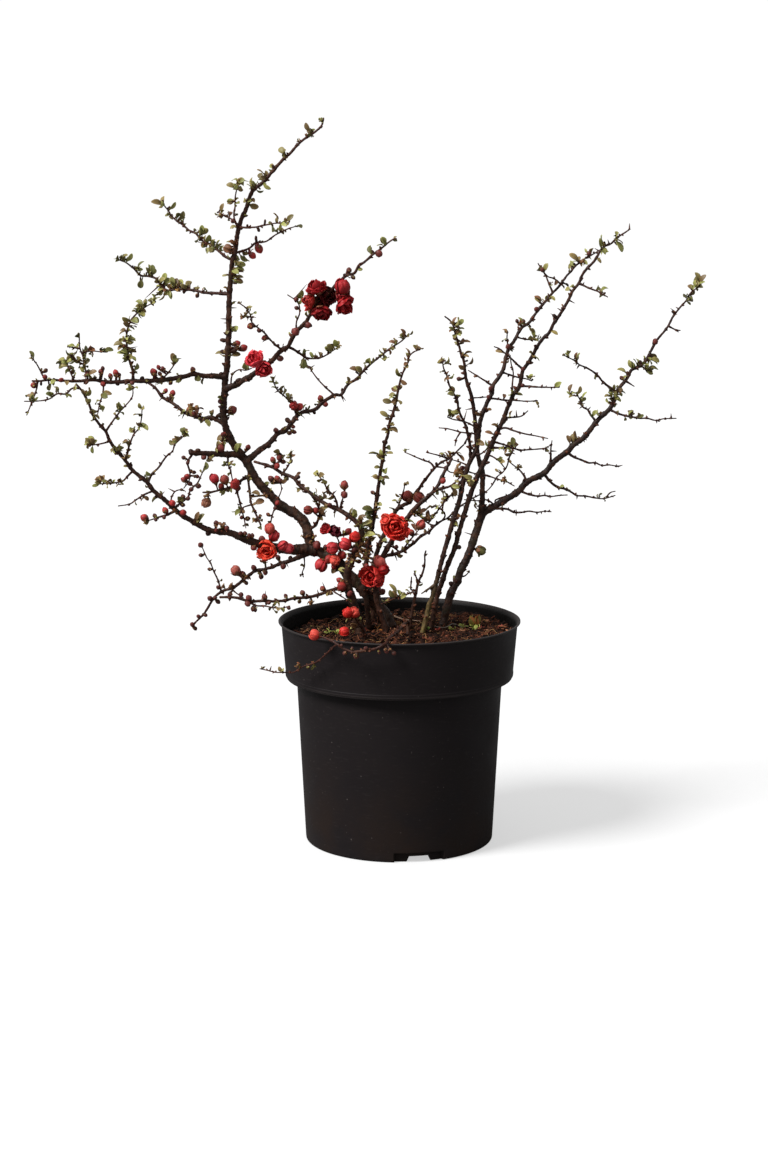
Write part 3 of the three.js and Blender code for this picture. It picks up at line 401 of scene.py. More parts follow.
 129,417 123,444 126,444 49,411 47,411 55,408 66,384r 105,470 112,498 178,561 176,554 172,550
 157,548 141,530 125,518 143,516 125,483 125,487 78,381 63,342 53,304 54,345p 51,342p 70,346p
 60,342p 52,354o 55,357o
buds 85,433,2.4d 83,425,2.2d 101,472,2.6d 112,494,2.4o 109,496,1.8d 115,496,1.8d 127,507,2.4d
 132,543,2.2d 169,551,2.8o 175,558,2.4d
thorns 107,469 125,495 130,484 117,479 63,413 68,410 54,384
shoot 148,531 143,535 137,537 132,543
shoot 172,554 178,557 183,560 186,562
shoot 57,392 53,385 52,379
shoot 63,355 70,353 77,351
shoot 62,346 70,343 74,344
shoot 73,370 69,376 65,382
shoot 74,371 80,374 85,382 90,391
shoot 63,361 56,364 49,366
limb slender_cane greenwood_cane
depths 0 -14 -26
girths 1.4 1.2 0.9 0.6
route 67,368 66,380 64,390 62,398 58,406 55,414 54,422 50,429 46,437 44,445 41,452 40,458
leaves 40,460 46,461l 38,448 36,457 46,444 50,446 48,430l 45,430 54,426 57,426 49,411 46,428 51,411
limb forward_cane
depths -8 -14 -24 -34 -44 -52 -56
girths 2.5 2.3 2.2 2.2 2.3 2.1 1.9 1.7 1.5 1.3 1.1 0.6
route 29,197 32,214 36,236 41,251 44,261 48,271 52,281 57,300 62,317 66,330 70,342 75,354 80,364
 84,374 88,384 92,393 97,403 100,412 103,420 107,428 111,433 113,440 115,450 120,457 124,464
 128,472 133,479 139,485 143,493 149,502 153,509 157,516 160,523 166,531 170,540 175,546 179,550
 183,556 186,561 190,565 195,567 198,570 201,573 206,576 212,580
twig 1.1 113,435 120,435 127,434.5 139,434 149,434
twig 0.9 99,405 107,406 114,407 120,412
twig 1/-9 115,451 109,456 104,461 98,466 93,470 88,472
twig 0.9/7 105,424 105,430 105.5,440 106,448 104,456 103,464
twig 1 167,530 176,526 184,523 193,518
twig 1/-12 92,395 99,396 108,393 117,390.5 125,389 132,387.5 139,386
twig 1.1/6 86,377 100,377 106,377 113,375 121,375.5 130,376 137,377 142,380
twig 0.9/4 106,376 103,368 101,360 97,354 92,350 87,342
twig 0.9/-8 75,353 82,351 88,349 94,347 99,346 108,341
leaves 100,404r 103,407 97,407r 106,424l 103,427 111,427 125,462l 130,459 85,378 80,383 83,381
 149,437 146,485 188,524 183,525 192,525 188,520 187,573l 184,569 192,560 205,562l 202,577 199,574
 184,553 100,372l 106,383p 104,378 98,377 110,381 97,367d 99,350 189,559 156,526 158,529 83,392
 88,399 98,400 138,374 97,364 95,368 67,346 100,373p 106,385p 92,356s
buds 115,436,2d 115,451,2.2d 98,347,3o
knobs 57,282 143,501
thorns 57,287 109,413 142,431 137,436 142,499 140,503 149,504 146,508 163,512 171,532 177,543
 180,563 192,571 212,586 117,376 122,379 109,371 93,357 141,381 137,373
shoot 87,369 93,365 99,358
limb right_bough
depths 12 18 26 36 48 60 72 80
girths 3.8 3.5 3.4 3.5 3.4 3 2.7 2.6 2.4 2.1 1.7 1.3 1.1 0.9 0.6
route 41,204 46,228 49.5,240 55,250 58,260 63,270 67,280 70,290 73.5,300 76,309 80,316 88,321
 95,325 105,331 113,337 120,345 130,350 137,354 143,362 150,368 158,374 163,380 172,386 180,396
 187,405 195,412 200,420 203,430 208,437 212,442 216,450 222,453 227,456 232,464 236,472 240,479
 246,486 250,492 254,500 260,508 266,515 270,522 275,526 279,531
twig 1.2/-14 86,319 96,319.5 102,319 108,316 115,316 122,317 130,316 137,317 143,316.5
twig 1.1/-16 113,336 122,333 130,331.5 137,332 142,331 150,332 158,332.5
twig 1.3/14 136,352 142,345 149,340 156,338 162,335 167,332 175,331.5 183,330 192,329 203,332
twig 1.2/-12 157,373 163,369 170,366 178,363 184,363 190,360.5 197,361 205,359.5
twig 1.1/-14 199,412 206,409 213,407 219,406 225,405 232,405 240,403 247,404.5 259,405
twig 1.2/-5 142,361 142,370 142,377 143,384
twig 1.1/10 184,402 179,408 176,413 171,416 169,422 166,426 160,426
twig 1.2/-12 203,429 190,439 184,446 175,452 168,455 163,459 157,462 153,464
twig 1.1/0 211,440 219,435
twig 1/4 222,453 227,453 231,448
twig 0.9/4 250,491 256,488 261,487
twig 1/10 120,345 117,351 112,357 108,360 103,364
twig 1.2/0 70,281 74,280
leaves 66,260 77,285s 82,277s 75,274s 81,282s 124,334 158,338l 155,341 189,334 218,411 223,409
 158,389 164,390 184,411 161,437 167,435 160,426 163,428 174,428 170,421 152,464d 158,467 165,465d
 164,455 183,443 194,422 196,428 206,422 211,428s 203,433 203,418 197,433d 207,431d 203,452 213,459
 219,460 235,457 238,462 234,464 242,458 235,449 243,451 268,516 263,519d 268,528 271,520 275,540
 274,534 282,537 283,532 280,527 274,532 268,514 272,515 167,464 221,461 215,458 239,457 235,452
 232,455 238,453 208,422 206,427 196,427 194,425 185,412 217,412 161,389 114,361 109,359
buds 207,443,2d 238,477,3d
knobs 48,248 224,458 253,504
thorns 61,297 110,319 110,312 103,321 137,318 134,314 100,334 84,326 137,336 142,329 167,328
 184,365 190,360 197,362 204,362 210,361 231,408 241,400 249,406 254,410 174,382 176,384 190,411
 168,414 179,416 175,416 184,448 165,451 251,508 256,509 146,367 148,374
shoot 196,332 199,335 203,336
shoot 57,254 62,255 66,259
shoot 87,325 81,328 74,327 61,328
shoot 90,327 96,330 104,333 112,335
limb tall_cane right_bough
depths 0 -8 -12 -16 -22
girths 2.6 2.4 2.2 2.0 1.8 1.6 1.3 1.0 0.7
route 76,309 78,328 78,342 78,354 75,364 73,374 72,386 71,398 70,410 68,421 66,430 63,438 61,448
 60,458 57,466 55,474 52,483 50,491 47,496 42,500
twig 0.7/2 67,424 75,424.5 81,425
leaves 54,496pl 59,498 55,487 58,489 48,487 52,483 58,478dl 65,477 53,474 63,463 66,467 67,460
 56,453 70,402 56,495 47,487 57,485 50,481 71,322
buds 55,442,2d
thorns 53,467 64,454 61,413
limb low_left_bough leader_stem
depths 0 18 30 40 46
girths 2.6 2 1.5 1.6 1.4 1.1 0.9
route -83,279 -95,273 -100,271 -108,268 -115,266 -122,263 -130,261 -137,259.5 -142,256 -147,252
 -153,247 -159,243 -165,241.5 -170,239 -175,235 -178,231 -182,224 -186,218 -190,214 -194,210
 -197,207
twig 0.9/10 -169,240 -172,251 -176,260 -179,268 -182,272 -185,279 -187,284
twig 0.7/-2 -90,275 -90,264 -92,258 -91,254
buds -115,273,2.5d -110,264,3d -128,269,3g -127,258,2.5c -131,254,2.5d -138,263,3d -149,257,3.4d
 -145,254,2.6o -145,248,2d -172,244,2.2d -167,245,2.4o -160,245,3o -161,237,2.6d -150,237,2.5d
 -180,233.5,2.5d -175,234,2.2d -172,230,2.5d -188,285,2.7d -188,275,2.2d -180,261.5,2d -184,217,2d
 -191,216,2.2d -197,208,2.5d -194,204,2d
knobs -103,273
thorns -105,263 -141,253 -177,271
shoot -160,243 -154,238 -148,234
limb rim_bough fork_stem
depths 0 -16 -26 -28
girths 1.6 1.4 1.4 1.3 1.1
route -48,246 -58,243 -66,241 -76,237 -84,235 -92,234 -100,233.5 -108,231.5 -118,230.5 -128,231
 -138,230.5 -145,231 -152,233.5 -160,234.5 -170,234.5
twig 0.9/-8 -145,231 -136,226.5 -128,226 -120,224.5 -112,224 -104,226
leaves -115,222p -65,238 -116,222
buds -92,239,2.5d -108,236,2d -95,230,1.8d -84,229,3o -73,243,2.5c -128,235,3d -143,234,3d
 -144,228,3d -139,223,2.5d -137,222,2d -105,224,2d -124,229,2d
thorns -73,249 -78,242 -127,241
shoot -62,240 -56,236 -50,232 -45,228
limb trailing_bough
depths -22 -52 -86 -106 -121 -124 -123 -121 -119 -115 -109 -101
girths 1.7 1.5 1.4 1.3 1.2 1.1 0.9
route 8,210 2,205 -6,198 -10,194.5 -14,189 -24,184 -34,182.5 -44,181.5 -52,184 -60,189.5 -68,194
 -77,197
twig 0.9/66 -59,189 -64,185 -72,177 -80,171 -92,167 -101,161.5 -110,161.5 -118,161.5 -126,163.5
 -133,165
leaves -111,164p -131,166
buds -5,180,2d -12,182,2.2d -19,180.5,1.5d -32,185,2d -45,185,1.5d -41,177,2.5d -52,180,2d
 -55,188,1.5d -96,169,2o -87,166,1.6d
thorns -122,168
limb dead_twig
depths -14 -12 -8 -6
girths 1.7 1.6 1.3 1 0.7
route 10,206 13,226 16,240 18,249 22,258 24,268 24,275 25,279
twig 0.8/-4 18,249 15,256 14,260
twig 0.9/-3 16,241 11,242 11,247 11.5,254
leaves -5,240 11,244 20,249p -13,229 4,234 -8,246l -2,235 11,237
shoot 13,240 6,237 -2,234 -10,231 -17,228
limb pot_shoot
depths -44 -46 -48
girths 1.6 1.4 1.1
route -33,200 -38,209 -43,216
twig 1/-10 -37,207 -43,205 -48,202
leaves -44,208 -36,214s -49,211p
"""


def planned(text: str) -> list[Growth]:
    """Reads the elevation's table.

    Each line is a kind of mark and its places, and one that starts with a space carries on the
    line before. A limb's line names it and its parent, and a twig's starts with its radius and,
    after a slash, its lean.

    Args:
        text: the table.

    Returns:
        The limbs, each after its parent.
    """
    rows: list[dict] = []
    for line in text.strip().replace("\n ", " ").splitlines():
        kind, _, places = line.partition(" ")
        first, _, rest = places.partition(" ")
        if kind == "limb":
            rows.append({"name": first, "parent": rest, "twigs": [], "shoots": []})
        elif kind == "twig":
            radius, _, lean = first.partition("/")
            rows[-1]["twigs"].append(Twig(float(radius), rest, float(lean) if lean else None))
        elif kind == "shoot":
            rows[-1]["shoots"].append(places)
        else:
            rows[-1][kind] = places
    return [Growth(**row) for row in rows]


class LeafHue(Enum):
    """A young leaf's colours, dark and light, by the letter that marks it."""

    FRESH = ("", "#4d5027", "#b2b466")
    PALE = ("p", "#84834a", "#c2c07e")
    DARK = ("d", "#2c311a", "#5e6434")
    BRONZE = ("r", "#5c3324", "#96683f")
    TAN = ("o", "#7a5228", "#b08a4a")


class BudHue(Enum):
    """A small bud's colours, of its scales and of its tip, by the letter that marks it."""

    CORAL = ("c", "#4f2f24", "#b83432")
    DARK = ("d", "#432820", "#8a3c36")
    BRIGHT = ("v", "#6c2420", "#d6423e")
    TAN = ("o", "#6a4c2e", "#b87240")
    GREEN = ("g", "#5a5628", "#8c8a44")


@dataclass(frozen=True)
class Whorl:
    """A ring of petals that lie on a bowl.

    Sizes are shares of the head's radius and angles are degrees. The petals start near the
    bowl's pole and end at `end`; past 90 they close over the heart.
    """

    count: int
    width: float
    height: float
    end: float
    half: float
    ruffle: float
    light: float


class Form(Enum):
    """How far a flower head has opened, from its outermost whorl to its heart."""

    ROSETTE = (
        Whorl(5, 1.08, 0.42, 70, 48, 0.080, 0.40),
        Whorl(5, 0.90, 0.54, 88, 47, 0.080, 0.60),
        Whorl(4, 0.66, 0.62, 104, 54, 0.070, 0.75),
        Whorl(4, 0.44, 0.66, 120, 56, 0.060, 0.90),
        Whorl(3, 0.26, 0.66, 138, 70, 0.030, 1.00),
    )
    CUP = (
        Whorl(5, 1.00, 0.66, 84, 48, 0.090, 0.60),
        Whorl(4, 0.86, 0.72, 100, 54, 0.090, 0.70),
        Whorl(4, 0.58, 0.70, 122, 52, 0.070, 0.55),
        Whorl(3, 0.34, 0.62, 138, 62, 0.040, 0.45),
    )
    OPEN = (
        Whorl(5, 1.06, 0.62, 92, 42, 0.070, 0.75),
        Whorl(4, 0.74, 0.66, 112, 46, 0.070, 0.65),
    )
    BALL = (
        Whorl(4, 1.00, 1.02, 152, 52, 0.060, 0.60),
        Whorl(3, 0.92, 1.00, 164, 66, 0.030, 0.50),
    )
    BUD = (
        Whorl(4, 1.00, 1.12, 160, 54, 0.050, 0.50),
        Whorl(3, 0.92, 1.08, 166, 66, 0.020, 0.40),
    )

    @property
    def closed(self) -> bool:
        """Whether the petals still hide the heart."""
        return self in (Form.BALL, Form.BUD)


@dataclass(frozen=True)
class Head:
    """One flower head: centre, radius, how far in front of its limb, form, colours, facing.

    The facing is right, front and up, and a bud without one faces away from its perch.
    """

    spot: Array
    radius: float
    forward: float
    form: Form
    deep: str
    light: str
    facing: Array | None


@dataclass(frozen=True)
class Cluster:
    """The heads that stand for one node of the frame, and the limb that carries them."""

    name: str
    host: str
    heads: list[Head]


# In bough_blossom every head has deep colours that paint the shade it stands in, and the two
# nearly black heads at -66,519 and -73.5,511 are painted shadow in the cluster's middle. The
# second head of dark_blossom is darkened with painted shade too.
FLOWER_TEXT = """
centre_blossom front_stem
 -4,302 12.8 9 ROSETTE #c01814 #f6483a 0.05,1,0.25
 -13.5,309.5 5.4 7 OPEN #e2362c #e8604e -0.7,0.8,0.7
left_blossom lower_left_bough
 -126,279.5 10.2 8 CUP #c8241a #fb5a40 -0.3,1,0.2
side_blossom lower_left_bough
 -110.3,283.8 5.2 5 BALL #9a141c #e0464a 0.7,0.5,0.5
 -105,281.5 5.2 6 BALL #8c0f16 #cf4a50 0.8,0.6,-0.2
upright_blossom lower_left_bough
 -122.6,300.2 5.3 3 BALL #9c3328 #cc5348 -0.3,0.4,1
 -118.5,293.4 5.4 2 BALL #8c0f16 #e0464a 0.5,0.4,1
arm_blossom blossom_bough
 -135.4,460.6 8.8 6 CUP #b41c28 #ee4a54 -0.3,0.8,0.6
 -127.2,450.8 8.2 6 CUP #b01a26 #ec464e 0.5,0.9,-0.3
bough_blossom blossom_bough
 -77,526.8 10.2 7 CUP #5a080e #b41a20 -0.3,0.35,1
 -84.3,514.2 9.2 6 CUP #6e0c10 #c4322a -1,0.3,0.2
 -73.2,503.4 10.2 5 CUP #4a080c #a8181e 0.1,0.6,-1
 -53,527.4 7.2 5 BALL #5a080e #bc262c -0.1,0.6,1
 -52.5,520.5 8.2 3 CUP #4a080c #9c141c 0.5,0.6,0.1
 -51.2,510.2 9.8 5 CUP #6a0a12 #c42428 0.7,0.7,-0.5
 -66,519 8.4 1 CUP #2a0c0c #6c161c 0.3,1,0.2
 -73.5,511 8.6 2 CUP #30100c #74181c -0.1,1,-0.2
dark_blossom leader_stem
 -70.3,300.2 6.2 3 CUP #7a0e16 #c22a2e -0.6,0.6,0.7
 -60.7,297.4 6.4 2 CUP #2c0a14 #6e1c2c 0.5,0.5,0.8
low_blossom centre_stem
 -27.2,254.2 10.4 17 CUP #ac161a #ec4238 -0.3,1,0.1
 -19.5,250.5 6.4 18 CUP #a01418 #e8403a 0.7,0.8,-0.5
 -18.8,269 5.8 16 BALL #9a141c #ee7468 0.1,0.5,1
 -15.2,260.6 5.2 18 BALL #8a1018 #b41412 0.8,0.6,0.1
tucked_blossom front_stem
 -18,264 6.2 -8 CUP #8c0f16 #e2362c 0.5,-0.6,-0.4
pot_blossom pot_shoot
 -49,219.5 4.8 4 BALL #b41412 #e2362c -0.6,0.7,0.5
 -43,219.5 4.8 2 BALL #b41412 #e8604e 0.4,0.7,0.7
bud_trunk_low leader_stem
 -74,266 6 4 BALL #9a141c #e0464a
bud_trunk_mid leader_stem
 -61,270 5.2 10 BALL #b41412 #e8604e
bud_trunk_high leader_stem
 -63,282 5.8 6 BALL #9a141c #e0464a
bud_fork_left fork_stem
 -51,285 5.5 4 BALL #9a141c #e0464a
bud_fork_front fork_stem
 -42,293 5 8 BALL #b41412 #e2362c
bud_fork_spire fork_stem
 -52,342 3.8 2 BUD #6c2c22 #a84640
bud_spur_outer bud_spur_bough
 -174,348 4.8 3 BALL #96121f #d83c44
bud_spur_inner bud_spur_bough
 -164.5,347 4.1 2 BUD #8c3a34 #d26a5c
bud_spur_drooping bud_spur_bough
 -182,325 4.3 2 BUD #7c4c34 #c8866a
bud_back_left back_stem
 8,331 4.8 2 BUD #56261d #9a3a32
bud_back_right back_stem
 18,330.5 5 4 BUD #56261d #9a3a32
bud_low_left low_left_bough
 -155,260 4.5 3 BUD #a04038 #dc7c6c
bud_mid_bough right_mid_bough
 -99,417 4.2 4 BUD #8c1c1e #d0463e
bud_right_low right_low_bough
 20,304 4.4 3 BUD #9c3328 #c2564c
bud_over_rim trailing_bough
 -80.5,198 4.8 1 BALL #b41412 #e8604e
bud_in_pot pot_shoot
 -52,201 4.8 2 BALL #b41412 #e2362c
bud_cane_ball right_bough
 77,279.5 4.3 1 BUD #3e3a20 #7c7842
bud_leafy_spur leafy_spur
 -86,318 4 2 BUD #56261d #9a3a32
"""

def clustered(text: str) -> list[Cluster]:
    """Reads the table of flowers.

    A cluster's line names its node and its limb. Each line under it that starts with a space is
    one of its heads, in the order of Head's fields.

    Args:
        text: the table.

    Returns:
        The clusters.
    """
    clusters: list[Cluster] = []
    for line in text.strip().splitlines():
        if line.startswith(" "):
            spot, radius, forward, form, deep, light, *facing = line.split()
            way = spots(facing[0])[0] if facing else None
            size, ahead = float(radius), float(forward)
            head = Head(spots(spot), size, ahead, Form[form], deep, light, way)
            clusters[-1].heads.append(head)
        else:
            clusters.append(Cluster(*line.split(), heads=[]))
    return clusters


@dataclass(frozen=True)
class Tuft:
    """A tuft of young leaves that is a node of the frame: the limb it is on and its middle."""

    node: str
    host: str
    spot: tuple[float, float]
    reach: float = 13.0


TUFTS = (
    Tuft("leaf_tuft_right", "right_bough", (201, 427)),
    Tuft("leaf_tuft_left", "high_left_bough", (-212, 527)),
    Tuft("leaf_tuft_top", "leader_stem", (-139, 621)),
)


# ---- numbers and curves ------------------------------------------------------------------


def linear(colour: str) -> Array:
    """Turns an sRGB hex colour into linear red, green and blue.

    It is c / 12.92 below 0.04045, and ((c + 0.055) / 1.055) ** 2.4 above it.
    """
    shown = np.array([int(colour[i : i + 2], 16) for i in (1, 3, 5)]) / 255.0
    return np.where(shown <= 0.04045, shown / 12.92, ((shown + 0.055) / 1.055) ** 2.4)


def rgba(colour: str) -> tuple[float, ...]:
    """Gives a hex colour as the four linear numbers that a socket holds."""
    return (*linear(colour), 1.0)


def hues(colours: Iterable[str]) -> Array:
    """Gives hex colours as rows of linear red, green and blue."""
    return np.array([linear(colour) for colour in colours]).reshape(-1, 3)


def shades(kinds: type[Enum], letters: Iterable[str]) -> tuple[Array, Array]:
    """Gives both colours of each letter's kind.

    Args:
        kinds: the kinds, each with its letter and its two hex colours.
        letters: the letters.

    Returns:
        The first and the second colours, as linear rows.
    """
    known = {kind.value[0]: kind.value[1:] for kind in kinds}
    pairs = [known[letter] for letter in letters]
    return hues(first for first, _ in pairs), hues(second for _, second in pairs)


def blend(first: Array, second: Array, share: Array | float) -> Array:
    """Mixes two colours or places: first where share is 0, second where it is 1."""
    share = ramp(np.asarray(share, float))[..., None]
    return first * (1.0 - share) + second * share


def ramp(values: Array, start: float = 0.0, end: float = 1.0) -> Array:
    """Gives 0 up to the start, 1 from the end on, and a straight slope between."""
    return np.clip((values - start) / (end - start), 0.0, 1.0)


def numbers(text: str) -> Array:
    """Reads a line of numbers."""
    return np.array([float(word) for word in text.split()])


def spots(text: str) -> Array:
    """Reads a line of "x,z" pairs, or of longer rows."""
    return np.array([[float(part) for part in word.split(",")] for word in text.split()])


@dataclass(frozen=True)
class Marks:
    """Marks of the elevation: their places, their radii, and their letters."""

    drawn: Array
    radius: Array
    letters: tuple[str, ...]


MARK = re.compile(r"(-?[\d.]+),(-?[\d.]+)(?:,([\d.]+))?([a-z]*)")


def marks(text: str) -> Marks:
    """Reads a line of "x,z", "x,z,radius" or either with letters after it.

    Args:
        text: the marks, with spaces between them.

    Returns:
        The marks as arrays; a mark without a radius has 1.
    """
    found = [MARK.fullmatch(word).groups() for word in text.split()]
    return Marks(
        np.array([[float(x), float(z)] for x, z, _, _ in found]).reshape(-1, 2),
        np.array([float(radius or 1.0) for _, _, radius, _ in found]),
        tuple(letters for _, _, _, letters in found),
    )


def along(values: Array, share: Array) -> Array:
    """Reads a list of evenly spaced values at shares from 0 to 1 of its length."""
    return np.interp(share, np.linspace(0.0, 1.0, len(values)), values)


def lengths(vectors: Array) -> Array:
    """Gives the length of each vector."""
    return np.linalg.norm(vectors, axis=-1)


def columnwise(at: Array, known: Array, table: Array) -> Array:
    """Interpolates every column of a table whose rows belong to the known numbers."""
    return np.stack([np.interp(at, known, column) for column in table.T], axis=-1)


def circle(count: int) -> Array:
    """Gives evenly spaced angles round a full turn."""
    return np.linspace(0.0, FULL_TURN, count, endpoint=False)


def unit(vectors: Array) -> Array:
    """Scales vectors to length 1."""
    return vectors / np.maximum(lengths(vectors)[..., None], 1e-9)


def travelled(points: Array) -> Array:
    """Gives the distance along a line of points from its first to each of them."""
    return np.append(0.0, np.cumsum(lengths(np.diff(points, axis=0))))


def waves(places: Array, span: float, seed: int) -> Array:
    """A smooth random field in space, about -1 to 1.

    It is the scaled sum of sixteen plane waves in random directions, each between 0.7 and 1.5
    waves to a span.

    Args:
        places: points in millimetres, in the last axis.
        span: the size of the field's bumps in millimetres.
        seed: the field's number.

    Returns:
        The field's value at each point.
    """
    draw = np.random.default_rng(seed)
    pitch = FULL_TURN * draw.uniform(0.7, 1.5, (16, 1)) / span
    heading = unit(draw.normal(size=(16, 3))) * pitch
    return np.sin(places @ heading.T + draw.uniform(0.0, FULL_TURN, 16)).sum(-1) / 5.0


def carried(drawn: Array, depth: Array | float) -> Array:
    """Carries points of the elevation along the viewer's sight lines to their depths.

    With reach as (depth + VIEWER) / VIEWER, right and up grow from the viewer's eye by reach.

    Args:
        drawn: points of the elevation, x and z in the last axis.
        depth: how far behind the pot's axis each lies.

    Returns:
        Points in space in millimetres.
    """
    depth = np.broadcast_to(np.asarray(depth, float), drawn.shape[:-1])
    seen = EYE + (drawn - EYE) * ((depth + VIEWER) / VIEWER)[..., None]
    return np.stack([seen[..., 0], depth, seen[..., 1]], axis=-1)


def smooth_path(points: Array, step: float) -> Array:
    """Draws a smooth curve through points, with its own points a step apart.

    The curve is a centripetal Catmull-Rom spline: knots lie the square root of each gap apart,
    and each point is a blend of blends of its four neighbours. Its ends mirror their second
    points.

    Args:
        points: the places to pass through, as (n, 3).
        step: the distance between the curve's points in millimetres.

    Returns:
        The curve as (m, 3).
    """
    points = points[np.diff(travelled(points), prepend=-1.0) > 0.05]
    ends = np.vstack([2 * points[0] - points[1], points, 2 * points[-1] - points[-2]])
    knots = np.append(0.0, np.cumsum(np.sqrt(lengths(np.diff(ends, axis=0)))))
    a, b, c, d = (ends[i : len(ends) - 3 + i, None] for i in range(4))
    ta, tb, tc, td = (knots[i : len(ends) - 3 + i, None, None] for i in range(4))
    at = tb + (tc - tb) * np.linspace(0.0, 1.0, 17)[None, :, None]
    ab = ((tb - at) * a + (at - ta) * b) / (tb - ta)
    bc = ((tc - at) * b + (at - tb) * c) / (tc - tb)
    cd = ((td - at) * c + (at - tc) * d) / (td - tc)
    abc = ((tc - at) * ab + (at - ta) * bc) / (tc - ta)
    bcd = ((td - at) * bc + (at - tb) * cd) / (td - tb)
    fine = ((tc - at) * abc + (at - tb) * bcd) / (tc - tb)
    fine = np.vstack([fine[:, :-1].reshape(-1, 3), points[-1]])
    length = travelled(fine)
    even = np.linspace(0.0, length[-1], max(3, math.ceil(length[-1] / step) + 1))
    return columnwise(even, length, fine)


def square_to(axis: Array) -> tuple[Array, Array]:
    """Gives two directions at right angles to an axis and to each other."""
    steep = np.abs(axis[..., 2:]) > 0.9
    side = unit(np.cross(axis, np.where(steep, [1.0, 0.0, 0.0], UP)))
    return side, np.cross(axis, side)


def spokes(axis: Array, turn: Array) -> Array:
    """Gives directions square to axes, each turned round its axis by an angle."""
    side, rise = square_to(axis)
    return np.cos(turn)[..., None] * side + np.sin(turn)[..., None] * rise


def swept(path: Array, across: Array, deep: Array, columns: int, reference: Array) -> Array:
    """Carries an oval profile along a path, or along many paths at once.

    Side is the path's tangent crossed with the reference, and rise the tangent crossed with
    side. A point is the path's plus across * cos(angle) * side plus deep * sin(angle) * rise.

    Args:
        path: the centre lines, as (..., rows, 3).
        across: the oval's half width at each row.
        deep: its half height at each row.
        columns: the points round the oval.
        reference: a direction that the path never follows.

    Returns:
        Rings as (..., rows, columns, 3).
    """
    tangent = unit(np.gradient(path, axis=-2))
    side = unit(np.cross(tangent, np.broadcast_to(reference, tangent.shape)))
    rise = np.cross(tangent, side)
    angle = circle(columns)[:, None]
    wide = across[..., None, None] * np.cos(angle) * side[..., None, :]
    high = deep[..., None, None] * np.sin(angle) * rise[..., None, :]
    return path[..., None, :] + wide + high


def swollen(rings: Array, more: Array) -> Array:
    """Scales the points of rings from each ring's middle by 1 + more."""
    middle = rings.mean(axis=-2, keepdims=True)
    return middle + (rings - middle) * (1.0 + more[..., None])


def flowing(across: Array, along_it: Array | float = 0.0) -> Array:
    """Puts a finish's pattern numbers together: across, along, and nothing."""
    return np.stack(np.broadcast_arrays(across, along_it, 0.0), axis=-1)


def pegs(foot: Array, way: Array, share: list[float], width: Array, columns: int) -> Array:
    """Makes straight round pegs, each the path foot + share * way with a radius at each row.

    Args:
        foot: where each starts.
        way: how far and which way each goes.
        share: how far along the way each row lies.
        width: the radius at each row.
        columns: the points round a peg.

    Returns:
        Rings as (pegs, rows, columns, 3).
    """
    path = foot[:, None] + way[:, None] * np.array(share)[:, None]
    return swept(path, width, width, columns, square_to(unit(way))[0][:, None])


# ---- meshes ------------------------------------------------------------------------------


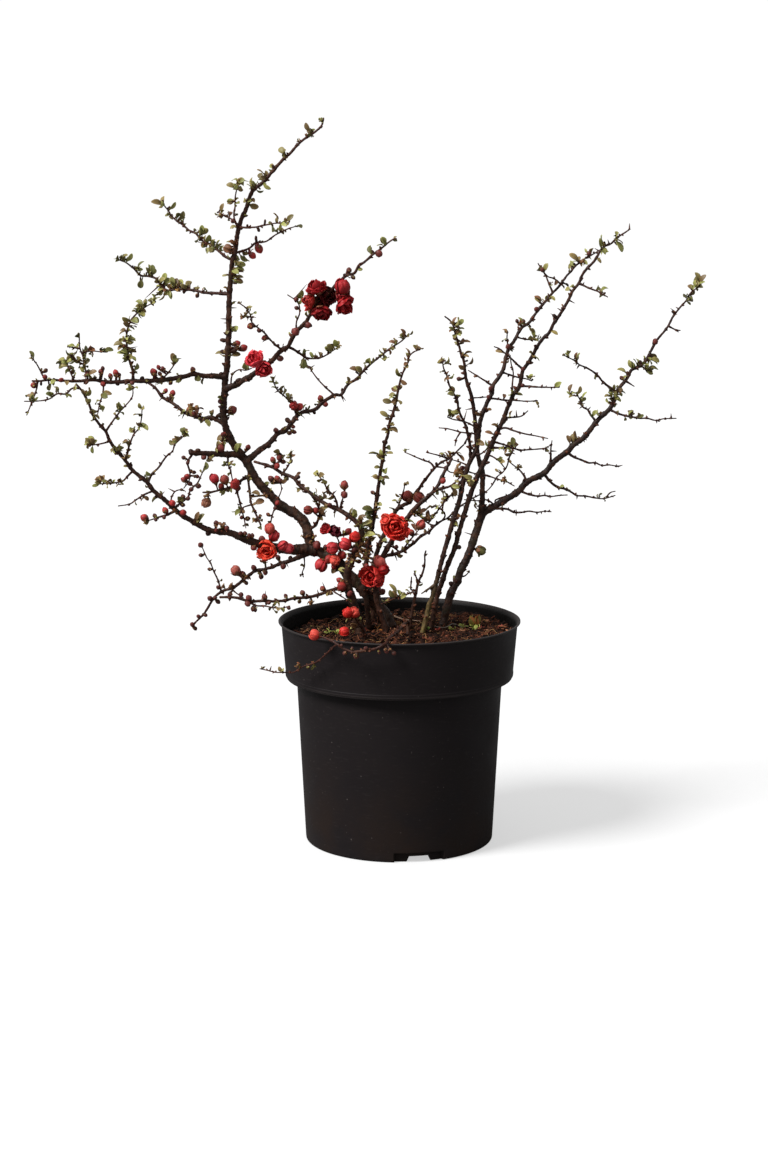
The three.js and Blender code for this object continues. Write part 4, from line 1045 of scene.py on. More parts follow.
class Surface:
    """Gathers closed shapes and turns them into one mesh.

    Shapes are in millimetres from the foot of the pot's axis. Each point carries a tint, which
    is its colour, painted shade included on some pieces, and a flow, three numbers that a finish
    may draw its pattern along.
    """

    def __init__(self) -> None:
        """Starts with nothing in it."""
        self._fields: tuple[list[Array], ...] = ([], [], [])
        self._faces: dict[int, list[Array]] = {4: [], 3: []}
        self._slots: dict[int, list[Array]] = {4: [], 3: []}
        self._count = 0

    def _gather(self, fields: list[Array], faces: tuple[Array, ...], slot: int) -> None:
        """Adds copies of one set of faces.

        Args:
            fields: points, tints and flows, each as (copies, points, 3).
            faces: arrays of point numbers, one of quads and perhaps one of triangles.
            slot: the number of the finish.
        """
        copies, size, _ = fields[0].shape
        first = self._count + size * np.arange(copies)[:, None, None]
        for kind in faces:
            corners = kind.shape[1]
            self._faces[corners].append((kind[None] + first).reshape(-1, corners))
            self._slots[corners].append(np.full(copies * len(kind), slot))
        for kept, values in zip(self._fields, fields):
            kept.append(values.reshape(-1, 3))
        self._count += copies * size

    def tubes(
        self, rings: Array, tint: Array, flow: Array | float = 0.0, slot: int = 0
    ) -> None:
        """Adds closed tubes, each from rings of points with a pole at the middle of each end.

        Args:
            rings: the points, as (tubes, rows, columns, 3), anticlockwise about the way along.
            tint: linear colours that broadcast to the rings.
            flow: pattern numbers that broadcast to the rings.
            slot: the number of the finish.
        """
        count, rows, columns, _ = rings.shape
        if not count:
            return
        grids = (np.broadcast_to(x, rings.shape) for x in (rings, tint, flow))
        fields = [
            np.concatenate([grid.reshape(count, -1, 3), grid[:, [0, -1]].mean(axis=2)], axis=1)
            for grid in grids
        ]
        column, last = np.arange(columns), (rows - 1) * columns
        after, pole = (column + 1) % columns, np.full(columns, rows * columns)
        here = (np.arange(rows - 1) * columns)[:, None]
        corners = (here + column, here + after, here + columns + after, here + columns + column)
        quads = np.stack([corner.ravel() for corner in corners], axis=1)
        start = np.stack([pole, after, column], axis=1)
        end = np.stack([pole + 1, last + column, last + after], axis=1)
        self._gather(fields, (quads, np.concatenate([start, end])), slot)

    def blades(
        self, outer: Array, inner: Array, tint: Array, flow: Array | float = 0.0, slot: int = 0
    ) -> None:
        """Adds thin closed blades, each from two grids that meet round their rims.

        Args:
            outer: one side's points, as (blades, rows, columns, 3).
            inner: the other side's, a thickness away.
            tint: linear colours that broadcast to (blades, 2, rows, columns, 3).
            flow: pattern numbers that broadcast the same way.
            slot: the number of the finish.
        """
        both = np.stack([outer, inner], axis=1)
        count, _, rows, columns, _ = both.shape
        size = rows * columns
        fields = [
            np.broadcast_to(x, both.shape).reshape(count, -1, 3) for x in (both, tint, flow)
        ]
        number = np.arange(size).reshape(rows, columns)
        corners = (number[:-1, :-1], number[:-1, 1:], number[1:, 1:], number[1:, :-1])
        face = np.stack([corner.ravel() for corner in corners], axis=1)
        sides = [number[0], number[1:, -1], number[-1, -2::-1], number[-2:0:-1, 0]]
        rim = np.concatenate(sides)
        after = np.roll(rim, -1)
        edge = np.stack([after, rim, rim + size, after + size], axis=1)
        self._gather(fields, (np.concatenate([face, face[:, ::-1] + size, edge]),), slot)

    def made(self, name: str, *finishes: bpy.types.Material) -> bpy.types.Object:
        """Makes the object, with its place in its mesh.

        Args:
            name: the piece's name.
            finishes: its materials, in the order of the slot numbers.

        Returns:
            The object, linked to the scene.
        """
        mesh = bpy.data.meshes.new(name)
        points, tints, flows = (np.concatenate(field) for field in self._fields)
        faces = self._faces[4] + self._faces[3]
        slots = np.concatenate(self._slots[4] + self._slots[3])
        corners = np.concatenate([face.ravel() for face in faces])
        sizes = np.concatenate([np.full(len(face), face.shape[1]) for face in faces])
        mesh.vertices.add(len(points))
        mesh.loops.add(len(corners))
        mesh.polygons.add(len(sizes))
        for rows, key, values, kind in (
            (mesh.vertices, "co", (points + pot_axis()) * MM, np.float32),
            (mesh.loops, "vertex_index", corners, np.int32),
            (mesh.polygons, "loop_start", np.cumsum(sizes) - sizes, np.int32),
            (mesh.polygons, "material_index", slots, np.int32),
            (mesh.polygons, "use_smooth", np.ones(len(sizes)), bool),
        ):
            rows.foreach_set(key, values.ravel().astype(kind))
        for label, kind, key, values in (
            ("tint", "FLOAT_COLOR", "color", np.insert(tints, 3, 1.0, axis=1)),
            ("flow", "FLOAT_VECTOR", "vector", flows),
        ):
            layer = mesh.attributes.new(label, kind, "POINT")
            layer.data.foreach_set(key, values.ravel().astype(np.float32))
        for finish in finishes:
            mesh.materials.append(finish)
        mesh.update(calc_edges=True)
        mesh.validate()
        return placed(name, mesh)


def placed(name: str, data: bpy.types.ID) -> bpy.types.Object:
    """Puts new data into the scene.

    Args:
        name: the object's name.
        data: its mesh, lamp or lens.

    Returns:
        The object, at the origin.
    """
    made = bpy.data.objects.new(name, data)
    bpy.context.scene.collection.objects.link(made)
    return made


def pot_axis() -> Array:
    """Gives the foot of the pot's axis in the row's frame, in millimetres."""
    low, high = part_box("nursery_pot")
    return np.array([(low.x + high.x) / 2, (low.y + high.y) / 2, low.z]) / MM


def settle(piece: bpy.types.Object, slot: str, *nodes: str) -> None:
    """Puts a finished piece on the object's one body.

    Args:
        piece: the piece.
        slot: the record's material slot that its finish belongs to; it is not used.
        nodes: the frame's nodes that it stands for.
    """
    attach(piece, "root")
    if nodes:
        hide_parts(*nodes)
    LOG.info("%s: %d faces", piece.name, len(piece.data.polygons))


# ---- finishes ----------------------------------------------------------------------------


class Recipe:
    """The nodes of a material or of the world, being put together."""

    def __init__(self, owner: bpy.types.ID) -> None:
        """Starts with no nodes.

        Args:
            owner: the new material or world.
        """
        self.owner = owner
        owner.use_nodes = True
        self.tree = owner.node_tree
        self.tree.nodes.clear()

    def add(
        self, kind: str, sockets: dict | tuple = (), output: str | int = 0, **settings: object
    ) -> bpy.types.NodeSocket:
        """Adds a node with its settings and links.

        Args:
            kind: the node's type without its "ShaderNode".
            sockets: a value, or another node's socket, for each input by name or in order.
            output: the name or number of the output that is wanted.
            settings: the node's own properties.

        Returns:
            The output.
        """
        made = self.tree.nodes.new(f"ShaderNode{kind}")
        for key, value in settings.items():
            setattr(made, key, value)
        inputs = sockets if isinstance(sockets, dict) else dict(enumerate(sockets))
        for key, value in inputs.items():
            if isinstance(value, bpy.types.NodeSocket):
                self.tree.links.new(value, made.inputs[key])
            else:
                made.inputs[key].default_value = value
        return made.outputs[output]

    def finished(self, shader: bpy.types.NodeSocket, end: str = "OutputMaterial") -> bpy.types.ID:
        """Joins the shader to the output and gives the owner."""
        self.tree.links.new(shader, self.tree.nodes.new(f"ShaderNode{end}").inputs[0])
        return self.owner


def cycles_per_metre(size: float) -> float:
    """Turns a pattern's size in millimetres into a noise scale on coordinates in metres."""
    return 1.0 / (size * MM)


@dataclass(frozen=True)
class QuinceBark:
    """Living quince bark: thin, matt, finely cracked along the wood, with blotches of cork."""

    crack: float = 1.5  # real cracks are finer; this is as fine as the model shows
    blotch: float = 8.0
    relief: float = 0.0006
    cork: str = "#6f4b37"

    def material(self) -> bpy.types.Material:
        """Makes the bark: dark in its cracks and patchy, so that it never looks painted.

        Returns:
            The material.
        """
        recipe = Recipe(bpy.data.materials.new("living quince bark"))
        place = recipe.add("TexCoord", output="Object")
        tint = recipe.add("Attribute", output="Color", attribute_name="tint")
        # Cracks run up and down the wood, so the noise is drawn out along z.
        tall = recipe.add("Mapping", {"Vector": place, "Scale": (1.0, 1.0, 0.45)})
        fine = {"Scale": cycles_per_metre(self.crack), "Detail": 3.0, "Roughness": 0.65}
        crack = recipe.add("TexNoise", {"Vector": tall, **fine})
        broad = {"Scale": cycles_per_metre(self.blotch), "Detail": 2.0}
        blotch = recipe.add("TexNoise", {"Vector": place, **broad})
        shade = recipe.add("MapRange", (crack, 0.32, 0.68, 0.5, 1.45))
        worked = recipe.add("VectorMath", {0: tint, "Scale": shade}, operation="SCALE")
        cork = recipe.add("MapRange", (blotch, 0.5, 0.68, 0.0, 0.32))
        paints = {0: cork, 6: worked, 7: rgba(self.cork)}
        lumps = {"Strength": 0.9, "Distance": self.relief, "Height": crack}
        looks = {
            "Base Color": recipe.add("Mix", paints, 2, data_type="RGBA"),
            "Roughness": recipe.add("MapRange", (blotch, 0.3, 0.7, 0.46, 0.7)),
            "IOR": 1.45,
            "Specular IOR Level": 0.34,
            "Normal": recipe.add("Bump", lumps),
        }
        return recipe.finished(recipe.add("BsdfPrincipled", looks))


@dataclass(frozen=True)
class Tissue:
    """A soft part of the plant, whose colour is on its mesh and whose veins follow its flow."""

    name: str
    roughness: float
    veins: float  # how many run from edge to edge
    depth: float  # how much darker a vein is
    mottle: float = 2.2  # size of the soft mottling in millimetres
    relief: float = 0.00012
    gloss: float = 0.3

    def material(self) -> bpy.types.Material:
        """Makes the tissue: tinted, veined along the flow and mottled, with a soft gloss.

        Returns:
            The material.
        """
        recipe = Recipe(bpy.data.materials.new(self.name))
        place = recipe.add("TexCoord", output="Object")
        tint = recipe.add("Attribute", output="Color", attribute_name="tint")
        flow = recipe.add("Attribute", output="Vector", attribute_name="flow")
        across = recipe.add("SeparateXYZ", (flow,))
        turns = recipe.add("Math", (across, self.veins * math.pi), operation="MULTIPLY")
        swing = recipe.add("Math", (turns,), operation="COSINE")
        grain = {"Vector": place, "Scale": cycles_per_metre(self.mottle), "Detail": 2.0}
        mottle = recipe.add("TexNoise", grain)
        vein = recipe.add("MapRange", (swing, -1.0, 1.0, 1.0, 1.0 - self.depth))
        soft = recipe.add("MapRange", (mottle, 0.3, 0.7, 0.86, 1.14))
        shade = recipe.add("Math", (vein, soft), operation="MULTIPLY")
        dull, keen = self.roughness + 0.08, self.roughness - 0.06
        lines = {"Strength": 0.5, "Distance": self.relief, "Height": vein}
        looks = {
            "Base Color": recipe.add("VectorMath", {0: tint, "Scale": shade}, operation="SCALE"),
            "Roughness": recipe.add("MapRange", (mottle, 0.3, 0.7, keen, dull)),
            "Specular IOR Level": self.gloss,
            "Normal": recipe.add("Bump", lines),
        }
        return recipe.finished(recipe.add("BsdfPrincipled", looks))


@dataclass(frozen=True)
class MouldedPolypropylene:
    """Moulded black polypropylene, the plastic of nursery pots: waxy, scuffed and dusty.

    Its black is on its mesh, because the inside is darkened with painted shade.
    """

    cloud: float = 34.0  # sizes of the soil's clouds, the scratches and the specks
    scratch: float = 1.4
    speck: float = 2.6
    # the colour of real scuffs, and of the painted highlight along the lip and step
    scuff_and_highlight: str = "#5a5351"
    soil: str = "#2a1d14"
    roughness: float = 0.5
    relief: float = 0.0001

    def material(self) -> bpy.types.Material:
        """Makes the plastic: near black, with rubbed specks, fine scratches and dried soil, and a
        painted highlight along its lip and step.

        Returns:
            The material.
        """
        recipe = Recipe(bpy.data.materials.new("moulded polypropylene"))
        place = recipe.add("TexCoord", output="Object")
        tint = recipe.add("Attribute", output="Color", attribute_name="tint")
        flow = recipe.add("Attribute", output="Vector", attribute_name="flow")
        edge_highlight = recipe.add("SeparateXYZ", (flow,))
        soiled = edge_highlight.node.outputs[1]
        # Scratches run round the pot, so their noise is drawn out along x and y.
        wide = recipe.add("Mapping", {"Vector": place, "Scale": (0.16, 0.16, 1.0)})
        cloud, scratch, speck = (
            recipe.add("TexNoise", {"Vector": at, "Scale": cycles_per_metre(size), "Detail": fine})
            for at, size, fine in (
                (place, self.cloud, 4.0),
                (wide, self.scratch, 2.0),
                (place, self.speck, 1.0),
            )
        )
        rubbed = recipe.add("MapRange", (speck, 0.755, 0.81, 0.0, 0.75))
        lined = recipe.add("MapRange", (scratch, 0.6, 0.74, 0.0, 0.07))
        marked = recipe.add("Math", (rubbed, lined), operation="MAXIMUM")
        # The flow's first number is a painted highlight along the lip and the step, broken up by
        # the clouds; the specks and scratches are real wear.
        edge = recipe.add("Math", (edge_highlight, cloud), operation="MULTIPLY")
        pale = recipe.add("Math", (marked, edge), operation="MAXIMUM")
        paints = {0: pale, 6: tint, 7: rgba(self.scuff_and_highlight)}
        shade = recipe.add("Mix", paints, 2, data_type="RGBA")
        dust = recipe.add("MapRange", (cloud, 0.36, 0.68, 0.0, 1.0))
        dirt = recipe.add("Math", (dust, soiled), operation="MULTIPLY")
        paints = {0: dirt, 6: shade, 7: rgba(self.soil)}
        keen, dull = self.roughness - 0.05, self.roughness + 0.12
        lines = {"Strength": 0.35, "Distance": self.relief, "Height": scratch}
        looks = {
            "Base Color": recipe.add("Mix", paints, 2, data_type="RGBA"),
            "Roughness": recipe.add("MapRange", (cloud, 0.3, 0.7, keen, dull)),
            "IOR": 1.49,
            "Specular IOR Level": 0.12,
            "Normal": recipe.add("Bump", lines),
        }
        return recipe.finished(recipe.add("BsdfPrincipled", looks))


@dataclass(frozen=True)
class BarkCompost:
    """Peat and composted bark: crumbly, fibrous and quite without gloss."""

    crumb: float = 1.2
    relief: float = 0.0007

    def material(self) -> bpy.types.Material:
        """Makes the compost: its own tint, broken up crumb by crumb.

        Returns:
            The material.
        """
        recipe = Recipe(bpy.data.materials.new("peat and bark compost"))
        place = recipe.add("TexCoord", output="Object")
        tint = recipe.add("Attribute", output="Color", attribute_name="tint")
        grain = {"Scale": cycles_per_metre(self.crumb), "Detail": 4.0, "Roughness": 0.7}
        crumb = recipe.add("TexNoise", {"Vector": place, **grain})
        shade = recipe.add("MapRange", (crumb, 0.32, 0.68, 0.2, 1.6))
        lumps = {"Strength": 1.0, "Distance": self.relief, "Height": crumb}
        looks = {
            "Base Color": recipe.add("VectorMath", {0: tint, "Scale": shade}, operation="SCALE"),
            "Roughness": 0.95,
            "Specular IOR Level": 0.15,
            "Normal": recipe.add("Bump", lumps),
        }
        return recipe.finished(recipe.add("BsdfPrincipled", looks))


@dataclass(frozen=True)
class StudioPaper:
    """Seamless background paper: white, matt, with the faintest tooth."""

    colour: str = "#ababab"
    bounce: str = "#7c7c7c"  # dark cards out of sight keep the floor from lighting undersides
    painted_glow: float = 0.5  # a painted glow, seen only by the eye, that lightens the shadow on the paper

    def material(self) -> bpy.types.Material:
        """Makes the paper: plain to the eye, with a painted glow that lightens its shadow, and
        darker to bounced light.

        Returns:
            The material.
        """
        recipe = Recipe(bpy.data.materials.new("seamless studio paper"))
        seen = recipe.add("LightPath", output="Is Camera Ray")
        paints = {0: seen, 6: rgba(self.bounce), 7: rgba(self.colour)}
        place = recipe.add("TexCoord", output="Object")
        tooth = recipe.add("TexNoise", {"Vector": place, "Scale": 40.0})
        looks = {
            "Base Color": recipe.add("Mix", paints, 2, data_type="RGBA"),
            "Roughness": recipe.add("MapRange", (tooth, 0.0, 1.0, 0.85, 0.95)),
            "Specular IOR Level": 0.1,
            "Emission Color": WHITE,
            "Emission Strength": recipe.add("Math", (seen, self.painted_glow), operation="MULTIPLY"),
        }
        return recipe.finished(recipe.add("BsdfPrincipled", looks))


class Finishes:
    """Every material of the object, made once."""

    def __init__(self) -> None:
        """Makes them all."""
        self.bark = QuinceBark().material()
        # Petals are waxy and fine-grained, which gives them soft lights.
        self.petal = Tissue("quince petal", 0.5, veins=6.0, depth=0.07).material()
        # Bud scales and calyxes are tougher, browner and a little glossy.
        self.scale = Tissue("bud scale", 0.5, veins=4.0, depth=0.22).material()
        # Young leaves are glossy, with one strong midrib.
        self.leaf = Tissue("young quince leaf", 0.45, veins=1.0, depth=0.16).material()
        self.plastic = MouldedPolypropylene().material()
        self.compost = BarkCompost().material()


# ---- wood --------------------------------------------------------------------------------


class Line:
    """One line of wood with its depths and radii: a limb's stem, a twig or a shoot."""

    pitch = 0.7  # from one perch to the next
    step = 1.4  # between points of the smooth path

    def __init__(self, drawn: Array, depth: Array, radii: Array, buried: float = 0.0) -> None:
        """Carries the line to its depths and smooths it.

        Args:
            drawn: its points in the elevation.
            depth: how far behind the pot's axis each lies.
            radii: evenly spaced radii from base to tip.
            buried: how far below its first point the line starts.
        """
        self.route, self.route_depth = drawn, depth
        self.nodes = np.zeros(0)  # how far along its joints lie, once its bark is laid
        length = travelled(drawn)
        even = np.append(np.arange(0.0, length[-1], self.pitch), length[-1])
        self.drawn = columnwise(even, length, drawn)
        self.depth = np.interp(even, length, depth)
        self.radius = along(radii, even / length[-1])
        self.place = carried(self.drawn, self.depth)
        self.heading = unit(np.gradient(self.place, axis=0))
        points = carried(drawn, depth)
        if buried:
            points = np.vstack([points[0] - buried * UP, points])
        self.path = smooth_path(points, self.step)
        self.reach = travelled(self.path)
        self.girth = along(radii, self.reach / self.reach[-1])

    def at(self, far: Array) -> tuple[Array, Array, Array]:
        """Gives the places, headings and radii at distances along the smooth path.

        Args:
            far: the distances from its base.

        Returns:
            The places and headings as (n, 3), and the radii.
        """
        place, heading = (
            columnwise(far, self.reach, kind)
            for kind in (self.path, unit(np.gradient(self.path, axis=0)))
        )
        return place, unit(heading), np.interp(far, self.reach, self.girth)

    def nearest(self, spot: Array) -> tuple[Array, float, float]:
        """Finds the route's nearest place to a point of the elevation.

        Args:
            spot: the point, x and z.

        Returns:
            The place in the elevation, its depth, and how far the point is from it.
        """
        start, run = self.route[:-1], np.diff(self.route, axis=0)
        share = ramp(((spot - start) * run).sum(1) / np.maximum((run**2).sum(1), 1e-9))
        places = start + run * share[:, None]
        gaps = lengths(places - spot)
        i = int(gaps.argmin())
        depth = self.route_depth[i] + share[i] * (self.route_depth[i + 1] - self.route_depth[i])
        return places[i], float(depth), float(gaps[i])


@dataclass(frozen=True)
class Perches:
    """Places on a limb: in the elevation and in space, with its radius and heading there."""

    drawn: Array
    depth: Array
    radius: Array
    place: Array
    heading: Array


class Limb:
    """A limb with its twigs and shoots, laid out in space from its growth."""

    buried = 12.0  # how deep in the compost a limb without a parent starts
    twig_tip = 0.5
    shoot_foot = 0.8
    sway = 0.4  # how far a twig leans, as a share of its length
    stem_gap = 0.5  # a limb that starts further than this from its parent is drawn out to it
    twig_gap = 1.5  # and so is a twig

    def __init__(self, growth: Growth, grown: dict[str, Limb]) -> None:
        """Lays the limb out.

        Args:
            growth: its row of the elevation.
            grown: the limbs already laid out, by name.
        """
        self.growth = growth
        drawn = spots(growth.route)
        parent = grown.get(growth.parent)
        root, start, gap = parent.lines[0].nearest(drawn[0]) if parent else (drawn[0], 0.0, 0.0)
        depth = start + along(numbers(growth.depths), np.linspace(0.0, 1.0, len(drawn)))
        if gap > self.stem_gap:
            drawn, depth = np.vstack([root, drawn]), np.append(start, depth)
        stem = Line(drawn, depth, numbers(growth.girths), 0.0 if parent else self.buried)
        self.lines = [stem]
        for order, twig in enumerate(growth.twigs):
            self._branch(stem, twig.radius, spots(twig.route), twig.lean, order)
        self.woody = len(self.lines)
        for order, route in enumerate(growth.shoots):
            drawn = spots(route)
            host = min(self.lines[: self.woody], key=lambda line: line.nearest(drawn[0])[2])
            self._branch(host, self.shoot_foot, drawn, None, order)

    def _branch(
        self, host: Line, radius: float, drawn: Array, lean: float | None, order: int
    ) -> None:
        """Adds a twig or a shoot, from the nearest place on its host.

        Args:
            host: the line that it grows from.
            radius: its radius at its base.
            drawn: its route in the elevation.
            lean: how far its tip lies behind its base, or None to lean to one side in turn.
            order: its number on the limb.
        """
        root, depth, gap = host.nearest(drawn[0])
        drawn = np.vstack([root, drawn[1:] if gap < self.twig_gap else drawn])
        if lean is None:
            lean = self.sway * np.linalg.norm(drawn[-1] - root) * (1 if order % 2 else -1)
        depths = depth + lean * np.linspace(0.0, 1.0, len(drawn))
        self.lines.append(Line(drawn, depths, np.array([radius, self.twig_tip])))

    def perches(self, at: Array, shoots: bool = True) -> Perches:
        """Finds where on the limb things sit that the elevation shows beside it.

        Args:
            at: points of the elevation, as (n, 2).
            shoots: whether they may sit on its shoots.

        Returns:
            The nearest place to each.
        """
        lines = self.lines if shoots else self.lines[: self.woody]
        kinds = [
            np.concatenate([getattr(line, kind) for line in lines])
            for kind in ("drawn", "depth", "radius", "place", "heading")
        ]
        nearest = lengths(at[:, None] - kinds[0]).argmin(axis=1)
        return Perches(*(kind[nearest] for kind in kinds))


@dataclass
class Wood:
    """A limb's bark: its stem, twigs, nodes, resting buds, spurs, spur knobs and thorns."""

    limb: Limb
    seed: int
    node_gap: tuple[float, float] = (7.5, 12.5)  # from one node to the next on a twig
    stem_gap: tuple[float, float] = (11.0, 19.0)  # and on a stem
    cluster: int = 2  # resting buds at a node
    stout: float = 1.05  # how much bark and relief add to the wood's radius
    greenwood: str = "greenwood_cane"  # the limb that is ochre at its foot
    young: str = "#3d190d"  # the bark's colours from a young twig's to an old stem's
    ripe: str = "#33180d"
    old: str = "#2e1a0f"
    moss: str = "#302919"
    ochre: str = "#64552f"
    resting: str = "#2a100a"
    scale: str = "#6a3822"
    thorn: str = "#3d1c12"

    def __post_init__(self) -> None:
        """Starts its random draws and its mesh."""
        self.draw = np.random.default_rng(self.seed)
        self.surface = Surface()

    def tint(self, place: Array, radius: Array | float) -> Array:
        """Works out the bark's colour.

        It runs from young to ripe to old with the radius, and moss gathers in soft patches on
        thick stems. A greenwood cane is ochre at its foot, the top is paler, and the right-hand
        wood is darker with painted shade.

        Args:
            place: points in space.
            radius: the wood's radius at each.

        Returns:
            Linear colours.
        """
        colour = blend(linear(self.young), linear(self.ripe), ramp(radius, 0.8, 1.8))
        colour = blend(colour, linear(self.old), ramp(radius, 2.0, 4.2))
        patch = ramp(waves(place, 16.0, self.seed), 0.25, 1.25)
        thick = np.clip((radius - 1.4) / 2.0, 0.0, 0.8)
        colour = blend(colour, linear(self.moss), patch * thick)
        if self.limb.growth.name == self.greenwood:
            colour = blend(colour, linear(self.ochre), ramp(place[..., 2], 265.0, 210.0))
        colour = colour * (1.0 + 0.32 * waves(place, 5.0, self.seed + 1)[..., None])
        # The right-hand wood is darkened with painted shade.
        top, right = ramp(place[..., 2:], 470.0, 590.0), ramp(place[..., :1], 0.0, 90.0)
        return colour * (1.0 + 0.25 * top) * (1.0 - 0.38 * right)

    def cover(self, line: Line) -> None:
        """Sweeps one line's bark and notes its nodes.

        The radius swells at each node by a bell curve, flares where the line leaves its host,
        and is roughened by waves; the last rows round the tip off.

        Args:
            line: the line to cover.
        """
        path, reach, girth = line.path, line.reach, line.girth * self.stout
        thick = float(girth.max())
        low, high = self.stem_gap if thick > 2.2 else self.node_gap
        nodes = np.cumsum(self.draw.uniform(low, high, max(2, int(reach[-1] / low) + 2)))
        line.nodes = nodes[nodes < reach[-1] - 2.0]
        off = (reach[:, None] - line.nodes) / (0.9 + 0.45 * girth[:, None])
        swell = np.minimum(np.exp(-(off**2)).sum(1), 1.2)
        flare = np.exp(-reach / (1.2 + 1.2 * thick))
        lump = 0.26 * np.clip(1.3 / girth, 0.3, 1.0)  # stout wood swells less at its nodes
        radius = girth * (1.0 + lump * swell + 0.45 * flare)
        heading = unit(path[-1] - path[-3])
        path = np.vstack([path, path[-1] + heading * radius[-1] * np.array([[0.5], [0.85]])])
        radius = np.append(radius, radius[-1] * np.array([0.8, 0.4]))
        columns = 18 if thick > 3.2 else 12 if thick > 1.4 else 8
        rings = swept(path, radius, radius, columns, FRONT)
        rough = 0.09 * waves(rings, 5.5, self.seed + 2) + 0.08 * waves(rings, 2.2, self.seed + 3)
        rings = swollen(rings, rough)
        self.surface.tubes(rings[None], self.tint(rings, radius[:, None]))

    def resting_buds(self, line: Line) -> None:
        """Adds the small resting buds, a few to a node, each node a golden turn from the last.

        A bud is a cone with a swollen foot that leans away from the wood towards the tip.

        Args:
            line: the line that they sit on.
        """
        count = len(line.nodes) * self.cluster
        if not count:
            return
        far = np.repeat(line.nodes, self.cluster) + self.draw.normal(size=count) * 0.6
        place, heading, radius = line.at(far)
        number, order = np.divmod(np.arange(count), self.cluster)
        out = spokes(heading, GOLDEN_TURN * number + 1.1 * order + self.draw.uniform(0.0, 6.0))
        size = self.draw.uniform(0.6, 1.2, (count, 1)) * np.clip(radius, 0.9, 1.5)[:, None]
        lean = unit(out + heading * self.draw.uniform(0.1, 0.9, (count, 1)))
        foot = place + out * (radius[:, None] * 0.75)
        width = size * np.array([0.75, 0.95, 0.7, 0.36, 0.08])
        rings = pegs(foot, lean * size * 2.3, [-0.2, 0.25, 0.6, 0.85, 1.0], width, 6)
        hue = blend(linear(self.resting), linear(self.scale), self.draw.uniform(0, 1, count))
        self.surface.tubes(rings, hue[:, None, None])

    def beside(self, text: str, wander: float) -> tuple[Perches, Array]:
        """Finds where marks of the table sit, and which way they lie from there.

        Args:
            text: the marks.
            wander: how far each may lie before or behind its perch.

        Returns:
            The perches, and the ways from them to the marks.
        """
        found = marks(text).drawn
        on = self.limb.perches(found)
        depth = on.depth + self.draw.uniform(-wander, wander, len(found))
        return on, carried(found, depth) - on.place

    def spikes(self) -> None:
        """Adds the thorns: straight cones from the wood to each tip in the table."""
        on, way = self.beside(self.limb.growth.thorns, 3.0)
        width = np.array([[1.5, 0.85, 0.62, 0.36, 0.1]])
        rings = pegs(on.place, way, [0.0, 0.12, 0.45, 0.8, 1.0], width, 7)
        self.surface.tubes(rings, linear(self.thorn))

    def spurs(self) -> None:
        """Adds the stubby spurs that carry the leaves: rugged pegs on the way to each leaf."""
        on, way = self.beside(self.limb.growth.leaves, 2.0)
        length = on.radius * 0.8 + np.clip(0.42 * lengths(way), 1.0, 4.5)
        size = self.draw.uniform(0.7, 1.05, (len(way), 1))
        width = size * np.array([0.9, 0.75, 1.05, 0.85, 0.95, 0.25])
        share = [0.0, 0.35, 0.6, 0.8, 0.95, 1.0]
        rings = pegs(on.place, unit(way) * length[:, None], share, width, 6)
        self.surface.tubes(rings, self.tint(rings, 1.2))

    def spur_knobs(self) -> None:
        """Adds the spur knobs: short rugged lumps on the wood at each place in the table."""
        on, knob = self.beside(self.limb.growth.knobs, 1.0)
        away = unit(knob + 0.3 * (on.heading + self.draw.normal(size=knob.shape)))
        length = np.maximum(lengths(knob), on.radius) + 1.5
        size = np.clip(on.radius, 1.2, 2.2)[:, None] * self.draw.uniform(0.8, 1.15, (len(knob), 1))
        width = size * np.array([1.0, 0.95, 1.1, 1.0, 0.65, 0.2])
        share = [0.0, 0.3, 0.55, 0.78, 0.93, 1.0]
        rings = pegs(on.place, away * length[:, None], share, width, 9)
        rings = swollen(rings, 0.16 * waves(rings, 2.6, self.seed + 4))
        self.surface.tubes(rings, self.tint(rings, 2.0))

    def grown(self, finish: bpy.types.Material) -> None:
        """Makes the whole limb, which stands for its node.

        Args:
            finish: the bark.
        """
        for line in self.limb.lines:
            self.cover(line)
            self.resting_buds(line)
        self.spikes()
        self.spurs()
        self.spur_knobs()
        name = self.limb.growth.name
        settle(self.surface.made(f"wood_{name}", finish), "bark", name)


# ---- leaves ------------------------------------------------------------------------------


